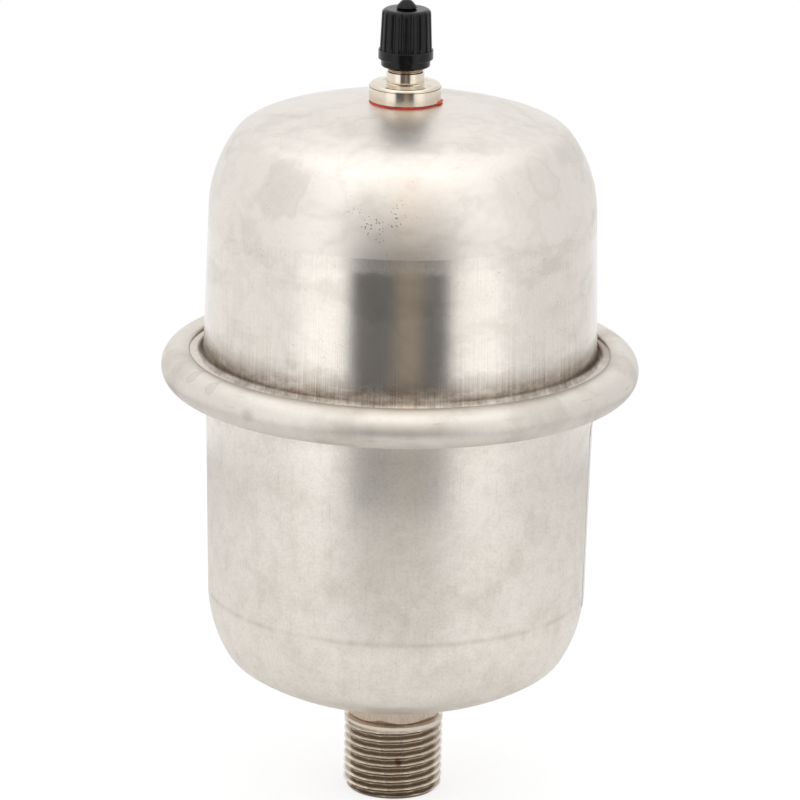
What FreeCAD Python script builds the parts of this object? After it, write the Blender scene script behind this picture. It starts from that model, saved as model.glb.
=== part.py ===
import FreeCAD, Part

import math
import os

from FreeCAD import Vector

# A small stainless water hammer arrestor. The water nipple points down, the gas charging
# valve stands on top, and the two drawn halves meet in a rolled seam that also grips the
# rim of the rubber diaphragm. Lengths are in millimetres and angles in degrees.
# The origin is the centre of the nipple's end face, +Z runs up through the valve.

# Sheet metal vessel
sheet = 0.8
vessel_r = 41.15
upper_taper = 0.85
mouth_step = 0.6
lower_taper = 0.8
lower_dome_z = 20.8
rim_z = 93.1
upper_wall = 33.6

# Dished ends: radii of the tangent arcs and the angles at which one arc hands over to the next
upper_shoulder_radius = 26.7
upper_shoulder_turn = 35.5
upper_knuckle_radius = 7.9
upper_knuckle_turn = 64.9
upper_haunch_radius = 24.4
upper_haunch_turn = 74.2
lower_shoulder_radius = 27.5
lower_shoulder_turn = 30.0
lower_knuckle_radius = 8.4
lower_knuckle_turn = 56.3
lower_haunch_radius = 39.0
lower_haunch_turn = 75.8

# Rolled seam
rim_tube_r = 4.1
rim_reach = 4.75
rim_lip_angle = 119.0
underside_bend = 1.2
trough_radius = 1.8
seam_clearance = 0.05
flange_end_angle = -8.0

# Diaphragm
rubber = 1.5
rubber_clearance = 0.15
pad_radius = 11.0
pad_height = 1.0

# Water nipple: G 1/2 outside thread, hexagon and spigot
thread_r = 10.4775
thread_length = 15.9
end_chamfer = 1.1
relief_r = 9.2
relief_width = 0.6
hexagon_flats = 19.0
hexagon_corner_r = 10.75
hexagon_height = 3.9
hexagon_turn = -14.4
nipple_bore_r = 6.0
bore_chamfer = 0.6
spigot_wall = 2.0
spigot_clearance = 0.05
spigot_stand = 0.2
braze_reach = 1.5
braze_hollow = 0.3

# Charging valve body
valve_base_r = 7.47
valve_base_height = 2.9
valve_base_step = 0.07
valve_base_round = 0.7
valve_base_slope = 0.25
neck_r = 3.95
neck_height = 2.25
neck_groove = 0.45
neck_groove_depth = 0.4
recess_width = 0.9
recess_depth = 0.2
stem_thread_r = 3.8
stem_height = 13.05
stem_chamfer = 0.4
shank_r = 4.0
shank_length = 7.4
gas_passage_r = 1.3
hole_clearance = 0.15

# Valve gasket, inner washer and nut
gasket = 0.2
gasket_stand = 0.03
gasket_clearance = 0.03
gasket_tuck = 0.45
gasket_fold_stand = 0.5
gasket_fold_rise = 0.4
gasket_fold_arc = 46.0
gasket_fold_start = -34.5
washer_r = 8.0
washer_thickness = 1.0
nut_flats = 13.0
nut_height = 4.0
nut_chamfer = 0.5
thread_clearance = 0.03

# Valve core
mouth_r = 2.65
mouth_depth = 5.2
seat_cone = 1.0
core_well_r = 2.15
core_well_depth = 16.0
plug_sink = 0.6
plug_head = 1.5
plug_head_step = 0.3
plug_thread = 2.8
plug_flats = 3.0
plug_mouth_r = 1.0
plug_web = 0.4
barrel_r = 1.75
barrel_bore_r = 1.25
barrel_head_r = 2.0
barrel_head = 1.2
barrel_length = 8.6
barrel_floor = 0.9
barrel_port_r = 0.85
seal_ring_height = 1.1
pin_r = 0.45
pin_sink = 0.3
pin_clearance = 0.08
pin_collar_r = 1.05
pin_collar = 0.6
pin_tail = 0.35
core_seat = 0.9
core_seat_gap = 0.02
cup_wall = 0.15
cup_floor = 0.4
spring_wire_r = 0.13
spring_mean_r = 0.8
spring_turns = 6
spring_length = 4.0

# Dust cap
cap_skirt_z = 3.3
cap_skirt = 1.55
cap_skirt_r = 5.08
cap_skirt_chamfer = 0.2
cap_collar = 2.0
cap_collar_r = 5.68
cap_foot_r = 5.42
cap_head_r = 5.12
cap_round = 0.75
cap_roof = 1.25
cap_bore_clearance = 0.08
rib_count = 18
groove_r = 0.5
groove_depth = 0.4
nib_r = 2.21
nib_height = 2.0
nib_tip_r = 1.7
nib_undercut = 0.3
nib_edge = 0.35
cap_seal = 1.0
cap_seal_clearance = 0.02

# Blank side label
label_paper = 0.15
label_clearance = 0.05
label_width = 100.0
label_top_z = 82.0
label_lap = 3.2
label_start = -9.0

# Radii of the walls and the rim: the upper half is widest at its mouth
upper_wall_r = vessel_r - upper_taper
lower_mouth_r = vessel_r - mouth_step
lower_wall_r = lower_mouth_r - lower_taper
rim_ring_r = vessel_r + rim_reach

# Radius of the gasket: it shows a hair of its edge round the valve's base
gasket_r = valve_base_r + gasket_stand

# Levels that follow from the sizes above
underside_z = rim_z - rim_tube_r
nest_r = rim_tube_r - sheet - seam_clearance
bead_r = nest_r - sheet - seam_clearance
diaphragm_offset = sheet + rubber_clearance
upper_wall_z = rim_z + upper_wall
hexagon_top_z = thread_length + relief_width + hexagon_height


def on_arc(centre, radius, angle):
    """Point at an angle on a circle in the section plane, as (r, z)."""
    turn = math.radians(angle)
    return (centre[0] + radius * math.cos(turn), centre[1] + radius * math.sin(turn))


def arc(centre, radius, start, end):
    """Arc step of a section: its middle point and its end point in one tuple."""
    return on_arc(centre, radius, 0.5 * (start + end)) + on_arc(centre, radius, end)


def section_face(path):
    """Face in the XZ plane from (r, z) points and (r, z, r, z) arc steps."""
    edges = []
    here = Vector(path[0][-2], 0, path[0][-1])
    for step in path[1:] + path[:1]:
        there = Vector(step[-2], 0, step[-1])
        if len(step) == 4:
            edges.append(Part.Arc(here, Vector(step[0], 0, step[1]), there).toShape())
        elif here.distanceToPoint(there) > 1e-6:
            edges.append(Part.LineSegment(here, there).toShape())
        here = there
    return Part.Face(Part.Wire(edges))


def turned(path, angle=360.0):
    """Solid of revolution of a closed section about the vertical axis."""
    return section_face(path).revolve(Vector(0, 0, 0), Vector(0, 0, 1), angle)


def ring(inner_r, outer_r, low_z, high_z):
    """Plain ring or, with a zero inner radius, a plain disc."""
    return turned([(inner_r, low_z), (outer_r, low_z), (outer_r, high_z), (inner_r, high_z)])


def prism(flats, low_z, height, turn=0.0):
    """Upright hexagon of a width across flats, with one corner at the given turn."""
    corner_r = flats / math.sqrt(3.0)
    points = []
    for index in range(7):
        angle = math.radians(turn + 60.0 * index)
        points.append(Vector(corner_r * math.cos(angle), corner_r * math.sin(angle), low_z))
    return Part.Face(Part.makePolygon(points)).extrude(Vector(0, 0, height))


class DishedEnd:
    """Outline of a dished end that leaves a straight wall and closes on the axis.

    Four arcs run tangent to each other. The last one, the crown, has its centre on the
    axis, so its radius follows from the wall radius. radii and turns belong to the first
    three: the shoulder, the knuckle and the haunch. side is +1 for a dome that rises from
    wall_z and -1 for one that falls from it.
    """

    def __init__(self, wall_r, side, radii, turns):
        self.side = side
        self.turns = (0.0,) + turns
        self.radii = list(radii)
        self.centres = []
        point = (wall_r, 0.0)
        for index, radius in enumerate(self.radii):
            turn = math.radians(self.turns[index])
            centre = (point[0] - radius * math.cos(turn), point[1] - radius * math.sin(turn))
            self.centres.append(centre)
            point = on_arc(centre, radius, self.turns[index + 1])
        last_turn = math.radians(self.turns[3])
        self.crown_radius = point[0] / math.cos(last_turn)
        self.radii.append(self.crown_radius)
        crown_drop = self.crown_radius * math.sin(last_turn)
        self.centres.append((0.0, point[1] - crown_drop))
        self.height = self.centres[3][1] + self.crown_radius
        self.wall_z = 0.0

    def place(self, wall_z):
        """Set the height of the line where the straight wall meets the dome."""
        self.wall_z = wall_z

    def centre(self, index):
        """Centre of one of the four arcs, in the section plane."""
        return (self.centres[index][0], self.wall_z + self.side * self.centres[index][1])

    def end_turn(self, offset, hole_r):
        """Angle at which the crown, moved out by an offset, meets a hole on the axis."""
        return math.degrees(math.acos(hole_r / (self.crown_radius + offset)))

    def crown_z(self, radius, offset=0.0):
        """Height of the crown's surface at a distance from the axis."""
        rise = math.sqrt((self.crown_radius + offset) ** 2 - radius ** 2)
        return self.centre(3)[1] + self.side * rise

    def inward(self, offset, hole_r=0.0):
        """Steps from the wall to the hole or the axis, along the surface moved out by offset."""
        turns = self.turns + (self.end_turn(offset, hole_r),)
        steps = [on_arc(self.centre(0), self.radii[0] + offset, 0.0)]
        for index in range(4):
            start = self.side * turns[index]
            end = self.side * turns[index + 1]
            steps.append(arc(self.centre(index), self.radii[index] + offset, start, end))
        return steps

    def outward(self, offset, hole_r=0.0):
        """The same steps, walked from the hole or the axis to the wall."""
        turns = self.turns + (self.end_turn(offset, hole_r),)
        steps = [(hole_r, self.crown_z(hole_r, offset))]
        for index in (3, 2, 1, 0):
            start = self.side * turns[index + 1]
            end = self.side * turns[index]
            steps.append(arc(self.centre(index), self.radii[index] + offset, start, end))
        return steps


upper_end = DishedEnd(upper_wall_r, 1,
                      (upper_shoulder_radius, upper_knuckle_radius, upper_haunch_radius),
                      (upper_shoulder_turn, upper_knuckle_turn, upper_haunch_turn))
upper_end.place(upper_wall_z)
lower_end = DishedEnd(lower_wall_r, -1,
                      (lower_shoulder_radius, lower_knuckle_radius, lower_haunch_radius),
                      (lower_shoulder_turn, lower_knuckle_turn, lower_haunch_turn))
lower_end.place(lower_dome_z + lower_end.height)
lower_wall_z = lower_end.wall_z

# Centres of the arcs of the rolled seam
rim_centre = (rim_ring_r, rim_z)
bend_centre = (lower_mouth_r + underside_bend, underside_z - underside_bend)
trough_r = vessel_r + trough_radius
trough_rise = math.sqrt((trough_radius + nest_r) ** 2 - (rim_ring_r - trough_r) ** 2)
trough_centre = (trough_r, rim_z + trough_rise)
nest_angle = math.degrees(math.atan2(trough_rise, trough_r - rim_ring_r))

# Heights of the valve above the vessel
valve_foot_z = upper_end.crown_z(shank_r + hole_clearance) + gasket
valve_shoulder_z = valve_foot_z + valve_base_height
valve_top_z = valve_shoulder_z + valve_base_round + valve_base_slope
stem_top_z = valve_top_z + stem_height
plug_top_z = stem_top_z - plug_sink
plug_shoulder_z = plug_top_z - plug_head
plug_foot_z = plug_shoulder_z - plug_thread
barrel_top_z = plug_foot_z + barrel_head
barrel_foot_z = barrel_top_z - barrel_length
barrel_floor_z = barrel_foot_z + barrel_floor
spring_top_z = barrel_floor_z + spring_length
spigot_r = nipple_bore_r + spigot_wall
cap_foot_z = valve_top_z + cap_skirt_z
cap_roof_z = stem_top_z + cap_seal + 2.0 * cap_seal_clearance
cap_top_z = cap_roof_z + cap_roof
cap_bore_r = stem_thread_r + cap_bore_clearance


def build_lower_shell():
    """Water half: dished bottom, straight wall, and the flange curled up and over the seam."""
    hole_r = spigot_r + spigot_clearance
    path = lower_end.outward(0.0, hole_r)
    path.append((lower_mouth_r, bend_centre[1]))
    path.append(arc(bend_centre, underside_bend, 180.0, 90.0))
    path.append((rim_ring_r, underside_z))
    path.append(arc(rim_centre, rim_tube_r, -90.0, rim_lip_angle))
    lip_centre = on_arc(rim_centre, rim_tube_r - 0.5 * sheet, rim_lip_angle)
    path.append(arc(lip_centre, 0.5 * sheet, rim_lip_angle, rim_lip_angle + 180.0))
    path.append(arc(rim_centre, rim_tube_r - sheet, rim_lip_angle, -90.0))
    path.append((bend_centre[0], underside_z + sheet))
    path.append(arc(bend_centre, underside_bend + sheet, 90.0, 180.0))
    path.extend(lower_end.inward(-sheet, hole_r))
    return turned(path)


def build_upper_shell():
    """Gas half: dished top, straight wall, and a flange that nests inside the rolled rim."""
    hole_r = shank_r + hole_clearance
    path = upper_end.outward(0.0, hole_r)
    path.append((vessel_r, trough_centre[1]))
    path.append(arc(trough_centre, trough_radius, 180.0, 180.0 + nest_angle))
    path.append(arc(rim_centre, nest_r, nest_angle, flange_end_angle))
    path.append(on_arc(rim_centre, nest_r - sheet, flange_end_angle))
    path.append(arc(rim_centre, nest_r - sheet, flange_end_angle, nest_angle))
    path.append(arc(trough_centre, trough_radius + sheet, 180.0 + nest_angle, 180.0))
    path.extend(upper_end.inward(-sheet, hole_r))
    return turned(path)


def build_diaphragm():
    """Rubber cup that lines the water half, with its rim bead gripped in the seam."""
    floor_z = underside_z + diaphragm_offset
    bead_foot = (rim_ring_r, floor_z + bead_r)
    outer = diaphragm_offset
    inner = diaphragm_offset + rubber
    pad_z = lower_end.crown_z(0.0, -inner) + pad_height
    path = lower_end.outward(-outer)
    path.append((lower_mouth_r - outer, bend_centre[1]))
    path.append(arc(bend_centre, underside_bend + outer, 180.0, 90.0))
    path.append((rim_ring_r, floor_z))
    path.append(arc(bead_foot, bead_r, -90.0, 0.0))
    path.append((rim_ring_r + bead_r, rim_z))
    path.append(arc(rim_centre, bead_r, 0.0, 180.0))
    path.append((rim_ring_r - bead_r, floor_z + rubber))
    path.append((bend_centre[0], floor_z + rubber))
    path.append(arc(bend_centre, underside_bend + inner, 90.0, 180.0))
    path.extend(lower_end.inward(-inner, pad_radius))
    path.append((pad_radius - pad_height, pad_z))
    path.append((0.0, pad_z))
    return turned(path)


def build_nipple():
    """Turned water nipple with a pipe thread, a thin hexagon and a spigot into the vessel."""
    hexagon_foot_z = hexagon_top_z - hexagon_height
    relief_slope = thread_r - relief_r
    stem = turned([
        (0.0, 0.0),
        (thread_r - end_chamfer, 0.0),
        (thread_r, end_chamfer),
        (thread_r, thread_length),
        (relief_r, thread_length + 0.5 * relief_slope),
        (relief_r, hexagon_top_z),
        (0.0, hexagon_top_z),
    ])
    corner_slope = hexagon_corner_r - relief_r
    blank = turned([
        (0.0, hexagon_foot_z),
        (relief_r, hexagon_foot_z),
        (hexagon_corner_r, hexagon_foot_z + 0.5 * corner_slope),
        (hexagon_corner_r, hexagon_top_z),
        (0.0, hexagon_top_z),
    ])
    corner_turn = hexagon_turn - 90.0
    hexagon = blank.common(prism(hexagon_flats, hexagon_foot_z, hexagon_height, corner_turn))
    spigot_top_z = lower_end.crown_z(0.0, -sheet) + spigot_stand
    spigot = ring(0.0, spigot_r, hexagon_top_z, spigot_top_z)
    bore = turned([
        (0.0, 0.0),
        (nipple_bore_r + bore_chamfer, 0.0),
        (nipple_bore_r, bore_chamfer),
        (nipple_bore_r, spigot_top_z),
        (0.0, spigot_top_z),
    ])
    return stem.fuse([hexagon, spigot]).cut(bore).removeSplitter()


def build_braze():
    """Fillet of filler metal between the hexagon and the dome."""
    inner_r = spigot_r + spigot_clearance
    foot_r = 0.5 * hexagon_flats - spigot_clearance
    outer_r = foot_r + braze_reach
    dome = lower_end.centre(3)
    crown = lower_end.crown_radius
    outer_turn = -math.degrees(math.acos(outer_r / crown))
    inner_turn = -math.degrees(math.acos(inner_r / crown))
    dip = braze_hollow * braze_reach
    hollow = (foot_r + dip, hexagon_top_z + dip)
    outer_point = (outer_r, lower_end.crown_z(outer_r))
    return turned([
        (inner_r, hexagon_top_z),
        (foot_r, hexagon_top_z),
        hollow + outer_point,
        arc(dome, crown, outer_turn, inner_turn),
    ])


def build_valve_body():
    """Charging valve: round base, neck, threaded stem with the core's bore, and shank."""
    upper_base_r = valve_base_r - valve_base_step
    round_centre = (upper_base_r - valve_base_round, valve_shoulder_z)
    recess_r = neck_r + recess_width
    groove_z = valve_top_z + neck_height
    groove_floor_r = neck_r - neck_groove_depth
    outside = turned([
        (0.0, valve_foot_z - shank_length),
        (shank_r - stem_chamfer, valve_foot_z - shank_length),
        (shank_r, valve_foot_z - shank_length + stem_chamfer),
        (shank_r, valve_foot_z),
        (valve_base_r, valve_foot_z),
        (valve_base_r, valve_shoulder_z),
        (upper_base_r, valve_shoulder_z),
        arc(round_centre, valve_base_round, 0.0, 90.0),
        (recess_r, valve_top_z),
        (recess_r - recess_depth, valve_top_z - recess_depth),
        (neck_r, valve_top_z - recess_depth),
        (neck_r, groove_z),
        (groove_floor_r, groove_z + 0.5 * neck_groove),
        (stem_thread_r, groove_z + neck_groove),
        (stem_thread_r, stem_top_z - stem_chamfer),
        (stem_thread_r - stem_chamfer, stem_top_z),
        (0.0, stem_top_z),
    ])
    cone_z = stem_top_z - mouth_depth
    well_z = stem_top_z - core_well_depth
    bore = turned([
        (0.0, valve_foot_z - shank_length),
        (gas_passage_r, valve_foot_z - shank_length),
        (gas_passage_r, well_z),
        (core_well_r, well_z),
        (core_well_r, cone_z - seat_cone),
        (mouth_r, cone_z),
        (mouth_r, stem_top_z),
        (0.0, stem_top_z),
    ])
    return outside.cut(bore)


def build_gasket():
    """Thin gasket that follows the dome under the valve base, squeezed up in a fold at one side."""
    inner_r = shank_r + hole_clearance
    dome = upper_end.centre(3)
    crown = upper_end.crown_radius
    outer_turn = math.degrees(math.acos(gasket_r / crown))
    inner_turn = math.degrees(math.acos(inner_r / crown))
    edge_z = upper_end.crown_z(gasket_r)
    flat = turned([
        (inner_r, valve_foot_z),
        (inner_r, upper_end.crown_z(inner_r)),
        arc(dome, crown, inner_turn, outer_turn),
        (gasket_r, valve_foot_z),
    ])
    wall_r = valve_base_r + gasket_clearance
    fold_r = valve_base_r + gasket_fold_stand
    tuck_r = gasket_r - gasket_tuck
    tuck_z = upper_end.crown_z(tuck_r) + gasket_clearance
    crest_z = valve_foot_z + gasket_fold_rise
    belly_z = 0.5 * (crest_z + edge_z)
    fold = turned([
        (tuck_r, valve_foot_z),
        (tuck_r, tuck_z),
        (gasket_r, tuck_z),
        (fold_r, belly_z),
        (wall_r, crest_z),
        (wall_r, valve_foot_z),
    ], gasket_fold_arc)
    fold.rotate(Vector(0, 0, 0), Vector(0, 0, 1), gasket_fold_start)
    return flat.fuse(fold)


def build_washer():
    """Flat washer that carries the valve nut inside the dome."""
    top_z = upper_end.crown_z(washer_r, -sheet)
    return ring(shank_r + hole_clearance, washer_r, top_z - washer_thickness, top_z)


def build_valve_nut():
    """Thin hexagon nut that clamps the valve from inside."""
    top_z = upper_end.crown_z(washer_r, -sheet) - washer_thickness
    foot_z = top_z - nut_height
    corner_r = nut_flats / math.sqrt(3.0)
    blank = turned([
        (shank_r + thread_clearance, foot_z),
        (corner_r - nut_chamfer, foot_z),
        (corner_r, foot_z + 0.5 * nut_chamfer),
        (corner_r, top_z),
        (shank_r + thread_clearance, top_z),
    ])
    return blank.common(prism(nut_flats, foot_z, nut_height))


def build_core_plug():
    """Threaded head of the valve core, with two key flats and a hole for the pin."""
    thread = ring(0.0, mouth_r - thread_clearance, plug_foot_z, plug_shoulder_z)
    head_r = mouth_r - plug_head_step
    head = ring(0.0, head_r, plug_shoulder_z, plug_top_z)
    key = Part.makeBox(plug_flats, 4.0 * head_r, plug_head,
                       Vector(-0.5 * plug_flats, -2.0 * head_r, plug_shoulder_z))
    mouth = ring(0.0, plug_mouth_r, barrel_top_z + plug_web, plug_top_z)
    web_hole = ring(0.0, pin_r + pin_clearance, barrel_top_z, barrel_top_z + plug_web)
    pocket = ring(0.0, barrel_head_r + thread_clearance, plug_foot_z, barrel_top_z)
    return thread.fuse(head.common(key)).cut([mouth, web_hole, pocket]).removeSplitter()


def build_core_barrel():
    """Lower half of the valve core: it carries the seal ring outside and the spring inside."""
    return turned([
        (barrel_port_r, barrel_foot_z),
        (barrel_r, barrel_foot_z),
        (barrel_r, plug_foot_z),
        (barrel_head_r, plug_foot_z),
        (barrel_head_r, barrel_top_z),
        (barrel_bore_r, barrel_top_z),
        (barrel_bore_r, barrel_floor_z),
        (barrel_port_r, barrel_floor_z),
    ])


def build_seal_ring():
    """Tapered ring that seals the core barrel against the cone in the valve's bore."""
    cone_z = stem_top_z - mouth_depth
    slope = (mouth_r - core_well_r) / seat_cone
    foot_z = plug_foot_z - seal_ring_height
    foot_r = core_well_r - thread_clearance + slope * max(foot_z - cone_z + seat_cone, 0.0)
    top_r = min(foot_r + slope * seal_ring_height, mouth_r - thread_clearance)
    return turned([
        (barrel_r + thread_clearance, foot_z),
        (foot_r, foot_z),
        (top_r, plug_foot_z),
        (barrel_r + thread_clearance, plug_foot_z),
    ])


def build_core_pin():
    """Pin of the valve core: a tyre gauge or inflator pushes its top down."""
    seat_foot_z = barrel_foot_z - core_seat_gap - core_seat
    tail_z = seat_foot_z - cup_floor - pin_tail
    top_z = plug_top_z - pin_sink
    return turned([
        (0.0, tail_z),
        (pin_r + cup_wall, tail_z),
        (pin_r + cup_wall, seat_foot_z - cup_floor),
        (pin_r, seat_foot_z - cup_floor),
        (pin_r, spring_top_z),
        (pin_collar_r, spring_top_z),
        (pin_collar_r, spring_top_z + 0.5 * pin_collar),
        (pin_r, spring_top_z + pin_collar),
        (pin_r, top_z - 0.5 * pin_r),
        (0.5 * pin_r, top_z),
        (0.0, top_z),
    ])


def build_core_seat():
    """Rubber washer that closes the lower end of the core barrel."""
    top_z = barrel_foot_z - core_seat_gap
    return ring(pin_r, barrel_r - cup_wall, top_z - core_seat, top_z)


def build_core_cup():
    """Metal cup on the pin that holds the rubber seat."""
    seat_foot_z = barrel_foot_z - core_seat_gap - core_seat
    seat_r = barrel_r - cup_wall
    lip_z = seat_foot_z + 0.5 * core_seat
    return turned([
        (pin_r, seat_foot_z - cup_floor),
        (barrel_r, seat_foot_z - cup_floor),
        (barrel_r, lip_z),
        (seat_r, lip_z),
        (seat_r, seat_foot_z),
        (pin_r, seat_foot_z),
    ])


def build_core_spring():
    """Coil spring round the pin, between the barrel's floor and the pin's collar."""
    coil_height = spring_length - 2.0 * spring_wire_r - 2.0 * core_seat_gap
    pitch = coil_height / spring_turns
    helix = Part.makeHelix(pitch, coil_height, spring_mean_r)
    rise = pitch / (2.0 * math.pi * spring_mean_r)
    circle = Part.Circle(Vector(spring_mean_r, 0, 0), Vector(0, 1, rise), spring_wire_r)
    section = Part.Wire([circle.toShape()])
    coil = Part.Wire(helix.Edges).makePipeShell([section], True, True)
    start_z = barrel_floor_z + spring_wire_r + core_seat_gap
    return coil.translated(Vector(0, 0, start_z))


def rib_groove(index):
    """Round groove between two ribs, leaning with the cap's taper."""
    low_z = cap_foot_z + cap_skirt + cap_collar
    height = cap_top_z - low_z + groove_r
    low_r = cap_foot_r + groove_r - groove_depth
    high_r = cap_head_r + groove_r - groove_depth
    lean = math.degrees(math.atan2(high_r - low_r, height))
    cutter = Part.makeCylinder(groove_r, height, Vector(0, 0, 0))
    cutter.rotate(Vector(0, 0, 0), Vector(0, 1, 0), lean)
    cutter.translate(Vector(low_r, 0, low_z))
    turn = (index + 0.5) * 360.0 / rib_count
    cutter.rotate(Vector(0, 0, 0), Vector(0, 0, 1), turn + 90.0)
    return cutter


def build_valve_cap():
    """Dust cap: plain skirt and collar, ribbed grip and a small nib on top."""
    collar_z = cap_foot_z + cap_skirt
    rib_z = collar_z + cap_collar
    nib_foot_r = nib_r - nib_undercut
    nib_edge_z = cap_top_z + nib_edge
    tip_centre = (0.0, cap_top_z + nib_height - nib_tip_r)
    edge_drop = nib_edge_z - tip_centre[1]
    edge_reach = math.hypot(nib_r, edge_drop)
    tip_start = math.degrees(math.atan2(edge_drop, nib_r) + math.acos(nib_tip_r / edge_reach))
    body = turned([
        (cap_bore_r, cap_foot_z),
        (cap_skirt_r - cap_skirt_chamfer, cap_foot_z),
        (cap_skirt_r, cap_foot_z + cap_skirt_chamfer),
        (cap_skirt_r, collar_z),
        (cap_collar_r, collar_z),
        (cap_collar_r, rib_z),
        (cap_foot_r, rib_z),
        (cap_head_r, cap_top_z - cap_round),
        arc((cap_head_r - cap_round, cap_top_z - cap_round), cap_round, 0.0, 90.0),
        (nib_foot_r, cap_top_z),
        (nib_r, nib_edge_z),
        on_arc(tip_centre, nib_tip_r, tip_start),
        arc(tip_centre, nib_tip_r, tip_start, 90.0),
        (0.0, cap_roof_z),
        (cap_bore_r, cap_roof_z),
    ])
    grooves = [rib_groove(index) for index in range(rib_count)]
    return body.cut(grooves)


def build_cap_seal():
    """Rubber disc in the cap's roof that closes the valve's mouth."""
    foot_z = stem_top_z + cap_seal_clearance
    return ring(0.0, cap_bore_r - cap_bore_clearance, foot_z, foot_z + cap_seal)


def build_side_label():
    """Blank label wrapped round the right flank and the back of the water half."""
    top_z = label_top_z
    foot_z = lower_wall_z
    slope = (lower_mouth_r - lower_wall_r) / (bend_centre[1] - lower_wall_z)
    top_r = lower_wall_r + slope * (top_z - lower_wall_z)
    low = label_clearance
    high = label_clearance + label_paper
    lap_turn = -math.degrees(label_lap / lower_shoulder_radius)
    centre = lower_end.centre(0)
    path = [
        (top_r + low, top_z),
        (lower_wall_r + low, foot_z),
        arc(centre, lower_shoulder_radius + low, 0.0, lap_turn),
        on_arc(centre, lower_shoulder_radius + high, lap_turn),
        arc(centre, lower_shoulder_radius + high, lap_turn, 0.0),
        (top_r + high, top_z),
    ]
    wrap = math.degrees(label_width / lower_wall_r)
    label = turned(path, wrap)
    label.rotate(Vector(0, 0, 0), Vector(0, 0, 1), label_start)
    return label


builders = {
    "lower_shell": build_lower_shell,
    "upper_shell": build_upper_shell,
    "diaphragm": build_diaphragm,
    "inlet_nipple": build_nipple,
    "nipple_braze": build_braze,
    "side_label": build_side_label,
    "valve_body": build_valve_body,
    "valve_gasket": build_gasket,
    "valve_washer": build_washer,
    "valve_nut": build_valve_nut,
    "core_plug": build_core_plug,
    "core_barrel": build_core_barrel,
    "core_seal_ring": build_seal_ring,
    "core_pin": build_core_pin,
    "core_cup": build_core_cup,
    "core_seat": build_core_seat,
    "core_spring": build_core_spring,
    "valve_cap": build_valve_cap,
    "cap_seal": build_cap_seal,
}

os.makedirs("parts", exist_ok=True)
for name, build in builders.items():
    shape = build()
    solid_count = len(shape.Solids)
    print(name, "solids", solid_count, "valid", shape.isValid(), "volume", round(shape.Volume, 2))
    shape.exportStep("parts/" + name + ".step")
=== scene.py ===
"""Dressed model of a small stainless water hammer arrestor.

Each sub-assembly is a class that holds its sizes in metres, builds its meshes and dresses
them. The frame gives the bodies, the plain solids and their boxes. The origin is the centre
of the nipple's end face, +Z runs up through the charging valve and the camera looks along +Y.
"""

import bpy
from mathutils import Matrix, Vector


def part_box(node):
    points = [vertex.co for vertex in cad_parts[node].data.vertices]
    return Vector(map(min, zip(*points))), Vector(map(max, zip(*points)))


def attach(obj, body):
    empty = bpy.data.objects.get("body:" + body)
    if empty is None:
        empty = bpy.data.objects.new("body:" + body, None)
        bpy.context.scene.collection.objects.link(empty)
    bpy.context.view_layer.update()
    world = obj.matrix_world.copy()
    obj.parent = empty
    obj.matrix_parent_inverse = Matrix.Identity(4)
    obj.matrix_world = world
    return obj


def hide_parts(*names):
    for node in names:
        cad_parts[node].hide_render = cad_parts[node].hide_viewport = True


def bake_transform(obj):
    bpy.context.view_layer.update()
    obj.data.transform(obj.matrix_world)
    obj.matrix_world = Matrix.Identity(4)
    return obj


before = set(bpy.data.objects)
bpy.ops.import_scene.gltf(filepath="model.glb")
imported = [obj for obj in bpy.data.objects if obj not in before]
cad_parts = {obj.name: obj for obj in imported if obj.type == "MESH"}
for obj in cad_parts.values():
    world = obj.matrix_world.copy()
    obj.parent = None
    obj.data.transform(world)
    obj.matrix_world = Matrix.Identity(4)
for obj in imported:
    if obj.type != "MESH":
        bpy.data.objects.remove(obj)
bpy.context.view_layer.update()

import logging
import math
from collections.abc import Callable, Sequence
from dataclasses import dataclass, replace
from enum import Enum
from functools import partial

import bpy
from mathutils import Matrix, Vector

log = logging.getLogger("arrestor")

Point = tuple[float, float]
Row = Callable[[float], Point]
Colour = tuple[float, float, float]


class Body(Enum):
    """Bodies of the frame that pieces ride on."""

    VESSEL = "vessel"
    CORE_PIN = "core_pin"
    CAP = "cap"


class Facing(Enum):
    """Way in which a dished end bulges."""

    UP = 1
    DOWN = -1


class Slot(Enum):
    """Material slots of the record."""

    PICKLED_STEEL = "pickled_steel"
    POLISHED_STEEL = "polished_steel"
    TURNED_STEEL = "turned_steel"
    BRAZE_METAL = "braze_metal"
    NICKEL_PLATE = "nickel_plate"
    ZINC_STEEL = "zinc_steel"
    CORE_BRASS = "core_brass"
    SPRING_STEEL = "spring_steel"
    BLACK_PLASTIC = "black_plastic"
    BLACK_RUBBER = "black_rubber"
    RED_GASKET = "red_gasket"
    WHITE_PTFE = "white_ptfe"
    LABEL_PAPER = "label_paper"


def linear(red: float, green: float, blue: float) -> tuple[float, float, float, float]:
    """Colour written in display values from 0 to 255, as the shader's linear RGBA.

    Args:
        red: Red share.
        green: Green share.
        blue: Blue share.

    Returns:
        The linear colour, with full alpha.
    """

    def channel(value: float) -> float:
        """One display value as a linear one."""
        share = value / 255.0
        return share / 12.92 if share <= 0.04045 else ((share + 0.055) / 1.055) ** 2.4

    return (channel(red), channel(green), channel(blue), 1.0)


def ease(value: float, low: float, high: float) -> float:
    """Smooth step from 0 at low to 1 at high."""
    share = min(max((value - low) / (high - low), 0.0), 1.0)
    return share * share * (3.0 - 2.0 * share)


def waves(turn: float, orders: Sequence[int], phase: float) -> float:
    """Uneven wave round a ring, between about -1 and 1.

    Args:
        turn: Angle round the axis, in radians.
        orders: Number of waves in a full turn, for each part of the sum.
        phase: Shift that makes two rings differ.

    Returns:
        The mean of the waves at that angle.
    """
    total = sum(math.sin(order * turn + phase * (order + 1)) for order in orders)
    return total / len(orders)


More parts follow.
